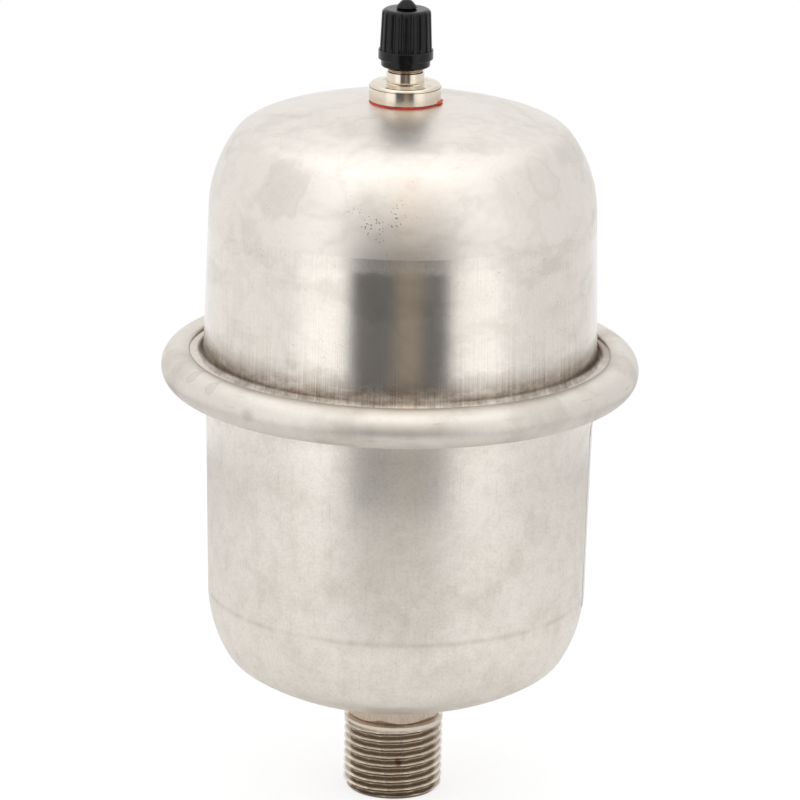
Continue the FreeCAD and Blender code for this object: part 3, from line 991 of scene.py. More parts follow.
@dataclass(frozen=True)
class Vessel:
    """The two drawn halves and their rolled seam."""

    sheet: float = 0.0008
    mouth_radius: float = 0.04115
    upper_wall_radius: float = 0.0403
    lower_mouth_radius: float = 0.04055
    lower_wall_radius: float = 0.03975
    lower_dome_height: float = 0.0208
    upper_wall_height: float = 0.1267
    rim_height: float = 0.0931
    rim_ring: float = 0.0459
    rim_tube: float = 0.0041
    lip_angle: float = 115.5
    lip_reach: float = 2.5
    underside_bend: float = 0.0012
    trough_radius: float = 0.0018
    seam_clearance: float = 0.00005
    flange_end: float = -8.0
    nipple_hole: float = 0.00805
    valve_hole: float = 0.00415
    columns: int = 256
    wobble: float = 0.00022

    @property
    def lower_end(self) -> DishedEnd:
        """Dish of the water half, which rests on the hexagon."""
        dish = DishedEnd(
            wall_radius=self.lower_wall_radius,
            wall_height=0.0,
            facing=Facing.DOWN,
            shoulder_radius=0.0275,
            shoulder_turn=30.0,
            knuckle_turn=56.3,
            haunch_radius=0.0390,
            haunch_turn=75.8,
            knuckle_radius=0.0084,
        )
        return replace(dish, wall_height=self.lower_dome_height + dish.rise())

    @property
    def upper_end(self) -> DishedEnd:
        """Dish of the gas half."""
        return DishedEnd(
            wall_radius=self.upper_wall_radius,
            wall_height=self.upper_wall_height,
            facing=Facing.UP,
            shoulder_radius=0.0267,
            shoulder_turn=35.5,
            knuckle_turn=64.9,
            haunch_radius=0.0244,
            haunch_turn=74.2,
            knuckle_radius=0.0079,
        )

    @property
    def lower_wall_height(self) -> float:
        """Height at which the water half's wall meets its dish."""
        return self.lower_end.wall_height

    def lip_turn(self, turn: float) -> float:
        """Angle at which the curl ends: the roller pushed it further in on the right."""
        side = 0.5 + 0.5 * math.cos(turn)
        return self.lip_angle + self.lip_reach * side + waves(turn, (2, 5, 9), 1.3)

    def curl_point(self, share: float, depth: float, turn: float) -> Point:
        """Point of the curl.

        Args:
            share: Place along the curl, 0 under the rim and 1 at its lip.
            depth: Distance from the curl's outer skin.
            turn: Angle in radians from +X.

        Returns:
            Its radius and height.
        """
        angle = math.radians(-90.0 + share * (self.lip_turn(turn) + 90.0))
        uneven = self.wobble * (0.5 + 0.5 * waves(turn, (1, 3, 4), 2.1)) * ease(share, 0.0, 0.3)
        radius = self.rim_tube - depth - uneven * (1.0 - ease(share, 0.6, 1.0))
        return (
            self.rim_ring + radius * math.cos(angle),
            self.rim_height + radius * math.sin(angle),
        )

    def lip_point(self, share: float, turn: float) -> Point:
        """Point of the rounded edge where the curl ends.

        Args:
            share: Share of the half turn round the sheet's edge.
            turn: Angle in radians from +X.

        Returns:
            Its radius and height.
        """
        angle = math.radians(self.lip_turn(turn))
        edge = angle + math.pi * share
        half = 0.5 * self.sheet
        middle = self.rim_tube - half
        return (
            self.rim_ring + middle * math.cos(angle) + half * math.cos(edge),
            self.rim_height + middle * math.sin(angle) + half * math.sin(edge),
        )

    def build_lower_shell(self) -> None:
        """Water half: dish, wall, and the flange curled up and over the seam."""
        underside = self.rim_height - self.rim_tube
        bend = (self.lower_mouth_radius + self.underside_bend, underside - self.underside_bend)
        hole_height = self.lower_end.crown_height(self.nipple_hole)
        outside = Outline(self.nipple_hole, hole_height)
        self.lower_end.walk(outside, 0.0, self.nipple_hole, True)
        outside.line(self.lower_mouth_radius, bend[1], 12)
        outside.arc(bend, self.underside_bend, 180.0, 90.0, 10.0)
        outside.line(self.rim_ring, underside, 3)
        inside = Outline(self.rim_ring, underside + self.sheet)
        inside.line(bend[0], underside + self.sheet)
        inside.arc(bend, self.underside_bend + self.sheet, 90.0, 180.0, 20.0)
        inside.line(self.lower_wall_radius - self.sheet, self.lower_wall_height, 4)
        self.lower_end.walk(inside, -self.sheet, self.nipple_hole, False)
        outer_steps, lip_steps, inner_steps = 44, 6, 16
        rows = outside.rows()
        for step in range(1, outer_steps + 1):
            rows.append(partial(self.curl_point, step / outer_steps, 0.0))
        for step in range(1, lip_steps):
            rows.append(partial(self.lip_point, step / lip_steps))
        for step in range(inner_steps):
            rows.append(partial(self.curl_point, 1.0 - step / inner_steps, self.sheet))
        rows += inside.rows()
        shell = skin("lower_half", rows, even_turns(self.columns), 50.0)
        dress(shell, PickledSteel(), Body.VESSEL, "lower_shell")

    def build_upper_shell(self) -> None:
        """Gas half: dish, wall, and the flange that dips and nests inside the curl."""
        nest = self.rim_tube - self.sheet - self.seam_clearance
        trough_r = self.mouth_radius + self.trough_radius
        rise = math.sqrt((self.trough_radius + nest) ** 2 - (self.rim_ring - trough_r) ** 2)
        trough = (trough_r, self.rim_height + rise)
        centre = (self.rim_ring, self.rim_height)
        nest_turn = math.degrees(math.atan2(rise, trough_r - self.rim_ring))
        outline = Outline(self.valve_hole, self.upper_end.crown_height(self.valve_hole))
        self.upper_end.walk(outline, 0.0, self.valve_hole, True)
        outline.line(self.mouth_radius, trough[1], 14)
        outline.arc(trough, self.trough_radius, 180.0, 180.0 + nest_turn, 8.0)
        outline.arc(centre, nest, nest_turn, self.flange_end, 10.0)
        outline.arc(centre, nest - self.sheet, self.flange_end, nest_turn, 12.0)
        outline.arc(trough, self.trough_radius + self.sheet, 180.0 + nest_turn, 180.0, 12.0)
        outline.line(self.upper_wall_radius - self.sheet, self.upper_wall_height, 4)
        self.upper_end.walk(outline, -self.sheet, self.valve_hole, False)
        shell = skin("upper_half", outline.rows(), even_turns(self.columns), 50.0)
        finish = PolishedSteel(wall_radius=self.upper_wall_radius, wall_top=self.upper_wall_height)
        dress(shell, finish, Body.VESSEL, "upper_shell")


@dataclass(frozen=True)
class WaterNipple:
    """Turned nipple with a real pipe thread, a thin hexagon and its braze."""

    thread_radius: float = 0.0104775
    thread_depth: float = 0.001162
    pitch: float = 0.001814
    thread_length: float = 0.0159
    end_chamfer: float = 0.0011
    relief_radius: float = 0.0092
    relief: float = 0.0006
    runout_slope: float = 6.0
    collar: float = 0.0007
    hexagon_foot: float = 0.0165
    hexagon_top: float = 0.0204
    hexagon_flats: float = 0.019
    hexagon_corner: float = 0.01075
    hexagon_turn: float = -14.4
    corner_slope: float = 0.9
    bore_radius: float = 0.006
    bore_chamfer: float = 0.0006
    spigot_radius: float = 0.008
    spigot_top: float = 0.0218
    braze_reach: float = 0.0015
    braze_gap: float = 0.00005
    braze_hollow: float = 1.6
    braze_least: float = 0.86
    braze_waver: float = 0.12
    braze_steps: int = 6
    braze_columns: int = 144
    columns: int = 216
    rings_each: int = 14

    @property
    def braze_bore(self) -> float:
        """Radius of the fillet's bore, round the spigot."""
        return self.spigot_radius + self.braze_gap

    def thread_point(self, height: float, turn: float) -> Point:
        """Point of the thread, within the chamfer at its end and the run-out under the hexagon.

        Args:
            height: Height of the point.
            turn: Angle in radians from +X.

        Returns:
            Its radius and height.
        """
        end = self.thread_length - self.collar
        fade = 1.0 - ease(height, end, end + 0.5 * self.collar)
        chamfer = self.thread_radius - self.end_chamfer + height
        runout = self.relief_radius + self.runout_slope * (self.thread_length + self.relief - height)
        flank = thread_flank(height / self.pitch - turn / (2.0 * math.pi))
        depth = self.thread_depth * flank * fade
        return (min(self.thread_radius - depth, chamfer, runout), height)

    def hexagon_point(self, top: bool, turn: float) -> Point:
        """Point of the hexagon.

        Args:
            top: Whether it is on the top face, or else where the chamfer meets the flats.
            turn: Angle in radians from +X.

        Returns:
            Its radius and height.
        """
        side = (math.degrees(turn) - self.hexagon_turn + 90.0) % 60.0 - 30.0
        flat = 0.5 * self.hexagon_flats / math.cos(math.radians(side))
        radius = min(flat, self.hexagon_corner)
        start = self.hexagon_foot + self.corner_slope * (radius - self.relief_radius)
        return (radius, self.hexagon_top if top else start)

    def build(self) -> None:
        """Build the nipple."""
        top = self.thread_length + self.relief
        count = math.ceil(top / self.pitch * self.rings_each)
        end = Outline(self.bore_radius, self.spigot_top)
        end.line(self.bore_radius, self.bore_chamfer, 2)
        end.line(self.bore_radius + self.bore_chamfer, 0.0)
        thread = [partial(self.thread_point, top * step / count) for step in range(count + 1)]
        hexagon = [partial(self.hexagon_point, at_top) for at_top in (False, True)]
        spigot = Outline(self.spigot_radius, self.hexagon_top).line(self.spigot_radius, self.spigot_top)
        rows = end.rows() + thread + hexagon + spigot.rows()
        offset = math.radians(self.hexagon_turn - 90.0)
        turns = [offset + turn for turn in even_turns(self.columns)]
        nipple = skin("threaded_nipple", rows, turns, 32.0)
        dress(nipple, TurnedSteel(), Body.VESSEL, "inlet_nipple")

    def face_point(self, dish: DishedEnd, share: float, turn: float) -> Point:
        """Point of the fillet's hollow face, which reaches unevenly far.

        Args:
            dish: The water half's dish, which the fillet follows.
            share: 0 at the hexagon and 1 at the dome.
            turn: Angle in radians from +X.

        Returns:
            Its radius and height.
        """
        foot = 0.5 * self.hexagon_flats - self.braze_gap
        reach = self.braze_reach * (self.braze_least + self.braze_waver * waves(turn, (2, 5, 7), 0.7))
        top = dish.crown_height(foot + reach)
        height = self.hexagon_top + (top - self.hexagon_top) * share ** self.braze_hollow
        return (foot + reach * share, height)

    def seat_point(self, dish: DishedEnd, share: float, turn: float) -> Point:
        """Point of the fillet on the dome.

        Args:
            dish: The water half's dish.
            share: 0 at the fillet's edge and 1 at the spigot.
            turn: Angle in radians from +X.

        Returns:
            Its radius and height.
        """
        outer, _ = self.face_point(dish, 1.0, turn)
        radius = outer + (self.braze_bore - outer) * share
        return (radius, dish.crown_height(radius))

    def build_braze(self, dish: DishedEnd) -> None:
        """Uneven fillet of filler metal between the hexagon and the dome.

        Args:
            dish: The water half's dish, which the fillet follows.
        """
        shares = [step / self.braze_steps for step in range(self.braze_steps + 1)]
        rows = Outline(self.braze_bore, self.hexagon_top).rows()
        rows += [partial(self.face_point, dish, share) for share in shares]
        rows += [partial(self.seat_point, dish, share) for share in shares[1:]]
        braze = skin("braze_fillet", rows, even_turns(self.braze_columns), 60.0)
        finish = PlainMetal(Slot.BRAZE_METAL, (196, 178, 150), (150, 126, 96), 0.35)
        dress(braze, finish, Body.VESSEL, "nipple_braze")


@dataclass(frozen=True)
class ChargingValve:
    """Plated valve on the gas half, with its red gasket."""

    base_radius: float = 0.00747
    base_height: float = 0.0029
    base_step: float = 0.00007
    base_edge: float = 0.0001
    base_round: float = 0.0007
    base_slope: float = 0.00025
    neck_radius: float = 0.00395
    neck_height: float = 0.00225
    neck_groove: float = 0.00045
    groove_depth: float = 0.0004
    recess_width: float = 0.0009
    recess_depth: float = 0.0002
    recess_edge: float = 0.00006
    floor_edge: float = 0.00012
    neck_edge: float = 0.00008
    thread_radius: float = 0.0038
    thread_depth: float = 0.00042
    thread_pitch: float = 0.000794
    thread_lead: float = 0.0004
    stem_height: float = 0.01305
    stem_chamfer: float = 0.0004
    cap_gap: float = 0.0033
    shank_radius: float = 0.0040
    shank_length: float = 0.0074
    passage_radius: float = 0.0013
    mouth_radius: float = 0.00265
    mouth_depth: float = 0.0052
    seat_cone: float = 0.0010
    well_radius: float = 0.00215
    well_depth: float = 0.0160
    gasket: float = 0.0002
    gasket_radius: float = 0.0075
    gasket_rim: float = 0.0003
    gasket_gap: float = 0.00003
    gasket_waver: float = 0.00006
    fold_stand: float = 0.00046
    fold_rise: float = 0.0004
    fold_turn: float = -11.5
    fold_half: float = 22.0
    fold_core: float = 0.35
    rings_each: int = 10
    columns: int = 120
    gasket_columns: int = 216

    def foot_height(self, vessel: Vessel) -> float:
        """Height of the valve's base on its gasket."""
        return vessel.upper_end.crown_height(vessel.valve_hole) + self.gasket

    def top_height(self, vessel: Vessel) -> float:
        """Height of the top of the valve's base."""
        return self.foot_height(vessel) + self.base_height + self.base_round + self.base_slope

    def thread_point(self, low: float, height: float, turn: float) -> Point:
        """Point of the stem's thread.

        Args:
            low: Height at which the thread starts.
            height: Height of the point.
            turn: Angle in radians from +X.

        Returns:
            Its radius and height.
        """
        fade = ease(height, low, low + self.thread_lead)
        flank = thread_flank((height - low) / self.thread_pitch - turn / (2.0 * math.pi))
        return (self.thread_radius - self.thread_depth * fade * flank, height)

    def build_body(self, vessel: Vessel) -> None:
        """Base, neck, threaded stem and bore of the valve.

        Args:
            vessel: The vessel, which sets the valve's height.
        """
        foot = self.foot_height(vessel)
        shoulder = foot + self.base_height
        top = self.top_height(vessel)
        recess = self.neck_radius + self.recess_width
        floor = top - self.recess_depth
        groove = top + self.neck_height
        thread_foot = groove + self.neck_groove
        stem_top = top + self.stem_height
        tail = foot - self.shank_length
        well = stem_top - self.well_depth
        cone = stem_top - self.mouth_depth
        outside = Outline(self.passage_radius, tail)
        outside.line(self.shank_radius - self.stem_chamfer, tail)
        outside.line(self.shank_radius, tail + self.stem_chamfer)
        outside.line(self.shank_radius, foot, 3)
        outside.line(self.base_radius - self.base_edge, foot)
        outside.line(self.base_radius, foot + self.base_edge)
        outside.line(self.base_radius, shoulder, 4)
        upper_base = self.base_radius - self.base_step
        outside.line(upper_base, shoulder)
        outside.arc((upper_base - self.base_round, shoulder), self.base_round, 0.0, 90.0, 9.0)
        outside.line(recess + self.recess_edge, top - self.recess_edge / 6.0, 6)
        outside.line(recess, top - self.recess_edge / 1.5)
        outside.line(recess - self.recess_depth, floor)
        outside.line(self.neck_radius + self.floor_edge, floor)
        outside.line(self.neck_radius, floor + self.floor_edge)
        outside.line(self.neck_radius, groove - self.neck_edge, 4)
        outside.line(self.neck_radius - self.neck_edge, groove)
        outside.line(self.neck_radius - self.groove_depth, groove + 0.5 * self.neck_groove)
        thread_top = stem_top - self.stem_chamfer
        count = math.ceil((thread_top - thread_foot) / self.thread_pitch * self.rings_each)
        rise = (thread_top - thread_foot) / count
        heights = [thread_foot + rise * step for step in range(count + 1)]
        thread = [partial(self.thread_point, thread_foot, height) for height in heights]
        inside = Outline(self.thread_radius - self.stem_chamfer, stem_top)
        inside.line(self.mouth_radius, stem_top)
        inside.line(self.mouth_radius, cone, 4)
        inside.line(self.well_radius, cone - self.seat_cone)
        inside.line(self.well_radius, well, 4)
        inside.line(self.passage_radius, well)
        rows = outside.rows() + thread + inside.rows()
        body = skin("valve_stem", rows, even_turns(self.columns), 35.0)
        finish = NickelPlate(thread_foot=thread_foot - 0.5 * self.thread_lead, step_height=shoulder)
        dress(body, finish, Body.VESSEL, "valve_body")

    def fold(self, turn: float) -> float:
        """Share of the gasket's fold at an angle: a swelling at the right."""
        away = (math.degrees(turn) - self.fold_turn + 180.0) % 360.0 - 180.0
        return 1.0 - ease(abs(away), self.fold_core * self.fold_half, self.fold_half)

    def gasket_point(self, vessel: Vessel, share: float, turn: float) -> Point:
        """Point of the gasket's edge.

        Args:
            vessel: The vessel, whose crown the gasket lies on.
            share: 0 on the dome and 1 under the valve.
            turn: Angle in radians from +X.

        Returns:
            Its radius and height.
        """
        fold = self.fold(turn)
        gap = self.gasket_gap
        low = vessel.upper_end.crown_height(self.gasket_radius) + gap * (1.0 + fold)
        high = self.foot_height(vessel) - gap + (self.fold_rise - gap) * fold
        belly = math.sin(math.pi * share)
        ragged = self.gasket_waver * (waves(turn, (7, 11, 19), 0.4) * belly - 1.0)
        stand = self.fold_stand * fold * belly
        return (self.gasket_radius + ragged + stand + gap * fold, low + (high - low) * share)

    def build_gasket(self, vessel: Vessel) -> None:
        """Thin gasket, squeezed up and out at the right.

        Args:
            vessel: The vessel, whose crown the gasket lies on.
        """
        crown = vessel.upper_end.crown_height
        gap = self.gasket_gap
        inner, under = vessel.valve_hole, self.foot_height(vessel) - gap
        rim_steps, flat_steps = 8, 5
        flat = self.gasket_radius - self.gasket_rim - inner

        def tuck(turn: float) -> Point:
            """Edge of the valve's base, which the fold goes round."""
            return (self.base_radius + (gap if self.fold(turn) > 0.0 else -gap), under)

        lower = Outline(inner, crown(inner) + gap)
        for step in range(1, flat_steps + 1):
            radius = inner + flat * step / flat_steps
            lower.line(radius, crown(radius) + gap)
        rim = [partial(self.gasket_point, vessel, step / rim_steps) for step in range(rim_steps + 1)]
        rows = lower.rows() + rim + [tuck] + Outline(inner, under).rows()
        gasket = skin("gasket_ring", rows, even_turns(self.gasket_columns), 60.0)
        finish = PlainSolid(
            slot=Slot.RED_GASKET,
            colour=(206, 62, 42),
            shade_colour=(158, 42, 32),
            roughness=0.55,
            relief_height=0.00006,
        )
        dress(gasket, finish, Body.VESSEL, "valve_gasket")


@dataclass(frozen=True)
class DustCap:
    """Black ribbed cap with a collar, a skirt and a small nib on top."""

    foot_height: float
    stem_top: float
    skirt: float = 0.00155
    skirt_radius: float = 0.00508
    skirt_chamfer: float = 0.0002
    collar: float = 0.0020
    collar_radius: float = 0.00568
    foot_radius: float = 0.00542
    head_radius: float = 0.00512
    round_radius: float = 0.0011
    roof: float = 0.00125
    seal: float = 0.00104
    bore_radius: float = 0.00388
    ribs: int = 18
    groove_radius: float = 0.0005
    groove_depth: float = 0.0004
    groove_blend: float = 0.00006
    grip_gap: float = 0.00001
    edge: float = 0.00012
    nib_radius: float = 0.00221
    nib_height: float = 0.0020
    nib_tip: float = 0.0017
    nib_undercut: float = 0.0003
    nib_edge: float = 0.00035
    nib_land: float = 0.00008
    columns_each: int = 16

    @property
    def roof_height(self) -> float:
        """Height of the underside of the roof, on the seal."""
        return self.stem_top + self.seal

    @property
    def top_height(self) -> float:
        """Height of the flat top."""
        return self.roof_height + self.roof

    def grip_point(self, radius: float, height: float, turn: float) -> Point:
        """Point of the ribbed grip: the outline's radius, cut by the grooves.

        Args:
            radius: Radius of the uncut grip.
            height: Height of the point.
            turn: Angle in radians from +X.

        Returns:
            Its radius and height.
        """
        low = self.foot_height + self.skirt + self.collar
        share = (height - low) / (self.top_height - low)
        lean = self.foot_radius + (self.head_radius - self.foot_radius) * share
        centre = lean + self.groove_radius - self.groove_depth
        spacing = 2.0 * math.pi / self.ribs
        away = (turn + 0.5 * math.pi) % spacing - 0.5 * spacing
        side = centre * math.sin(away)
        if abs(side) >= self.groove_radius:
            return (radius, height)
        floor = centre * math.cos(away) - math.sqrt(self.groove_radius ** 2 - side ** 2)
        gap = radius - floor
        blend = self.groove_blend
        cut = 0.5 * (gap + math.sqrt(gap * gap + blend * blend)) - 0.5 * blend
        return (radius - max(cut, 0.0), height)

    def build(self) -> None:
        """Build the cap."""
        collar = self.foot_height + self.skirt
        grip = collar + self.collar
        edge = self.edge
        outside = Outline(self.bore_radius, self.foot_height)
        outside.line(self.skirt_radius - self.skirt_chamfer, self.foot_height)
        outside.line(self.skirt_radius, self.foot_height + self.skirt_chamfer)
        outside.line(self.skirt_radius, collar - edge, 2)
        outside.line(self.skirt_radius + edge, collar)
        outside.line(self.collar_radius - edge, collar)
        outside.line(self.collar_radius, collar + edge)
        outside.line(self.collar_radius, grip - edge, 3)
        outside.line(self.collar_radius - edge, grip)
        shoulder = Outline(self.foot_radius, grip + self.grip_gap)
        shoulder.line(self.head_radius, self.top_height - self.round_radius, 14)
        middle = (self.head_radius - self.round_radius, self.top_height - self.round_radius)
        shoulder.arc(middle, self.round_radius, 0.0, 84.0, 6.0)
        grip_rows = [partial(self.grip_point, radius, height) for radius, height in shoulder.points]
        nib_edge = self.top_height + self.nib_edge
        tip = (0.0, self.top_height + self.nib_height - self.nib_tip)
        drop = nib_edge + self.nib_land - tip[1]
        reach = math.hypot(self.nib_radius, drop)
        start = math.degrees(math.atan2(drop, self.nib_radius) + math.acos(self.nib_tip / reach))
        top = Outline(middle[0], self.top_height)
        top.line(self.nib_radius - self.nib_undercut, self.top_height, 3)
        top.line(self.nib_radius - 0.75 * self.nib_land, nib_edge - 0.5 * self.nib_land)
        top.line(self.nib_radius, nib_edge)
        top.line(self.nib_radius - 0.375 * self.nib_land, nib_edge + self.nib_land)
        top.arc(tip, self.nib_tip, start, 89.9, 6.0)
        inside = Outline(0.0, tip[1] + self.nib_tip)
        inside.line(0.0, self.roof_height)
        inside.line(self.bore_radius, self.roof_height, 2)
        rows = outside.rows() + grip_rows + top.rows() + inside.rows()
        turns = even_turns(self.ribs * self.columns_each)
        cap = skin("ribbed_cap", rows, turns, 38.0)
        finish = PlainSolid(
            slot=Slot.BLACK_PLASTIC,
            colour=(9, 9, 10),
            shade_colour=(16, 15, 15),
            roughness=0.21,
            relief_height=0.00001,
            clouds=500.0,
            gloss=0.26,
        )
        dress(cap, finish, Body.CAP, "valve_cap")


@dataclass(frozen=True)
class SideLabel:
    """Blank paper label round the right flank and the back of the water half."""

    paper: float = 0.00012
    clearance: float = 0.00002
    width: float = 0.100
    top_height: float = 0.082
    lap: float = 0.0032
    start: float = -9.0
    corner_radius: float = 0.0015

    def build(self, vessel: Vessel) -> None:
        """Build the label as a thin curved sheet.

        Args:
            vessel: The vessel that it is stuck to.
        """
        across, down = 120, 44
        wrap = self.width / vessel.lower_wall_radius
        straight = self.top_height - vessel.lower_wall_height
        length = straight + self.lap
        mouth = vessel.rim_height - vessel.rim_tube - vessel.underside_bend
        slope = (vessel.lower_mouth_radius - vessel.lower_wall_radius) / (mouth - vessel.lower_wall_height)
        shoulder = vessel.lower_end.shoulder_radius

        def point(share: float, drop: float, out: float) -> tuple[float, float, float]:
            """Point of the sheet.

            Args:
                share: Place across the width, from 0 at the front edge.
                drop: Distance down from the top edge.
                out: Height over the sheet's inner face.

            Returns:
                The point.
            """
            sideways = min(share, 1.0 - share) * self.width
            inset = self.corner_inset(sideways, min(drop, length - drop))
            along = drop + (inset if drop < 0.5 * length else -inset)
            out += self.clearance
            if along <= straight:
                height = self.top_height - along
                radius = vessel.lower_wall_radius + slope * (height - vessel.lower_wall_height) + out
            else:
                bend = (along - straight) / shoulder
                radius = vessel.lower_wall_radius - shoulder * (1.0 - math.cos(bend)) + out * math.cos(bend)
                height = vessel.lower_wall_height - (shoulder + out) * math.sin(bend)
            turn = math.radians(self.start) + wrap * share
            return (radius * math.cos(turn), radius * math.sin(turn), height)

        vertices = []
        for out in (self.paper, 0.0):
            for row in range(down + 1):
                for column in range(across + 1):
                    share = 0.5 - 0.5 * math.cos(math.pi * column / across)
                    vertices.append(point(share, length * row / down, out))
        faces = []
        side = (across + 1) * (down + 1)
        for row in range(down):
            for column in range(across):
                a = row * (across + 1) + column
                b, c, d = a + 1, a + across + 2, a + across + 1
                faces += [(a, d, c, b), (side + a, side + b, side + c, side + d)]
        for column in range(across):
            a, b = column, column + 1
            c, d = a + down * (across + 1), b + down * (across + 1)
            faces += [(a, b, side + b, side + a), (d, c, side + c, side + d)]
        for row in range(down):
            a = row * (across + 1)
            b = a + across + 1
            c, d = a + across, b + across
            faces += [(b, a, side + a, side + b), (c, d, side + d, side + c)]
        label = mesh_piece("paper_label", vertices, faces, 40.0)
        finish = PlainSolid(
            slot=Slot.LABEL_PAPER,
            colour=(238, 238, 236),
            shade_colour=(232, 232, 229),
            roughness=0.45,
            relief_height=0.000015,
            clouds=120.0,
        )
        dress(label, finish, Body.VESSEL, "side_label")

    def corner_inset(self, sideways: float, drop: float) -> float:
        """How far a rounded corner draws the label's edge in.

        Args:
            sideways: Distance of the point from the nearer upright edge.
            drop: Its distance from the nearer level edge.

        Returns:
            The distance, 0 away from the corners.
        """
        if sideways >= self.corner_radius or drop >= 0.5 * self.corner_radius:
            return 0.0
        gap = self.corner_radius - sideways
        return self.corner_radius - math.sqrt(self.corner_radius ** 2 - gap ** 2)


@dataclass(frozen=True)
class CoreSpring:
    """Coil spring of the valve core."""

    node: str = "core_spring"
    wire_radius: float = 0.00013
    mean_radius: float = 0.0008
    coils: int = 6
    steps_each: int = 32
    sides: int = 12

    def wire_point(self, share: float, side: float, foot: float, length: float) -> Vector:
        """Point on the wire's skin.

        Args:
            share: Place along the wire, from 0 at its foot to 1 at its top.
            side: Angle round the wire, in radians.
            foot: Height of the wire's centre at its foot.
            length: Height between the wire's two ends.

        Returns:
            The point.
        """
        turn = 2.0 * math.pi * self.coils * share
        out = Vector((math.cos(turn), math.sin(turn), 0.0))
        rise = length / (2.0 * math.pi * self.coils * self.mean_radius)
        along = Vector((-math.sin(turn), math.cos(turn), rise)).normalized()
        centre = out * self.mean_radius + Vector((0.0, 0.0, foot + length * share))
        return centre + (out * math.cos(side) + along.cross(out) * math.sin(side)) * self.wire_radius

    def build(self) -> None:
        """Build the coil in its node's box, held by the vessel below and by the pin above."""
        low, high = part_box(self.node)
        foot = low[2] + self.wire_radius
        length = high[2] - low[2] - 2.0 * self.wire_radius
        count = self.coils * self.steps_each
        vertices = [
            self.wire_point(step / count, side, foot, length)
            for step in range(count + 1)
            for side in even_turns(self.sides)
        ]
        faces = [tuple(reversed(range(self.sides))), tuple(range(count * self.sides, len(vertices)))]
        for step in range(count):
            for side in range(self.sides):
                a, b = step * self.sides + side, step * self.sides + (side + 1) % self.sides
                faces.append((a, b, b + self.sides, a + self.sides))
        coil = mesh_piece("core_coil", vertices, faces, 50.0)
        finish = PlainMetal(Slot.SPRING_STEEL, (168, 166, 164), (120, 118, 116), 0.30)
        coil.data.materials.append(finish.material())
        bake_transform(coil)
        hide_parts(self.node)
        log.info("%s: %d faces, %s", coil.name, len(faces), finish.slot.value)


@dataclass(frozen=True)
class InnerWorks:
    """Solids of the frame that stay as they are: diaphragm, valve core and fixings."""

    brass: PlainMetal = PlainMetal(Slot.CORE_BRASS, (214, 176, 108), (190, 146, 84), 0.28)
    zinc: PlainMetal = PlainMetal(Slot.ZINC_STEEL, (200, 202, 206), (172, 174, 178), 0.34)
    rubber: PlainSolid = PlainSolid(Slot.BLACK_RUBBER, (28, 28, 28), (44, 43, 42), 0.62)
    ptfe: PlainSolid = PlainSolid(Slot.WHITE_PTFE, (236, 236, 232), (224, 224, 220), 0.40)

    def dress_all(self) -> None:
        """Give each inner solid its finish."""
        for name in ("core_plug", "core_barrel", "core_pin", "core_cup"):
            dress_node(name, self.brass)
        for name in ("valve_washer", "valve_nut"):
            dress_node(name, self.zinc)
        for name in ("diaphragm", "core_seat", "cap_seal"):
            dress_node(name, self.rubber)
        dress_node("core_seal_ring", self.ptfe)


@dataclass(frozen=True)
class Softbox:
    """Soft panel of light on a stand, turned to the object."""

    name: str
    azimuth: float
    width: float
    radiance: float
    elevation: float = 14.0
    distance: float = 1.3
    height: float = 1.5

    def build(self, aim: Vector) -> None:
        """Place the panel.

        Args:
            aim: Point that it faces.
        """
        light = bpy.data.lights.new(self.name, "AREA")
        light.shape = "RECTANGLE"
        light.size = self.width
        light.size_y = self.height
        light.energy = self.radiance * math.pi * self.width * self.height
        lamp = bpy.data.objects.new(self.name, light)
        bpy.context.scene.collection.objects.link(lamp)
        turn, rise = math.radians(self.azimuth), math.radians(self.elevation)
        level = math.cos(rise)
        towards = Vector((math.sin(turn) * level, -math.cos(turn) * level, math.sin(rise)))
        lamp.location = aim + towards * self.distance
        lamp.rotation_euler = towards.to_track_quat("Z", "Y").to_euler()
        lamp.visible_camera = False
        lamp.visible_glossy = False
        log.info("%s: light panel", self.name)


@dataclass(frozen=True)
class Strip:
    """Upright strip of the surround: its azimuths from the front in degrees, and its level."""

    low: float
    high: float
    soft: float
    level: float = 1.0

    def seen(self, azimuth: Wire) -> Wire:
        """Level of the strip at an azimuth."""
        return azimuth.between(self.low, self.high, self.soft) * self.level


@dataclass(frozen=True)
class Climb:
    """Brightening of the surround between two elevations in degrees, up to its level."""

    low: float
    high: float
    level: float

    def seen(self, rise: Wire) -> Wire:
        """Level of the climb at an elevation."""
        return rise.smooth(self.low, self.high) * self.level


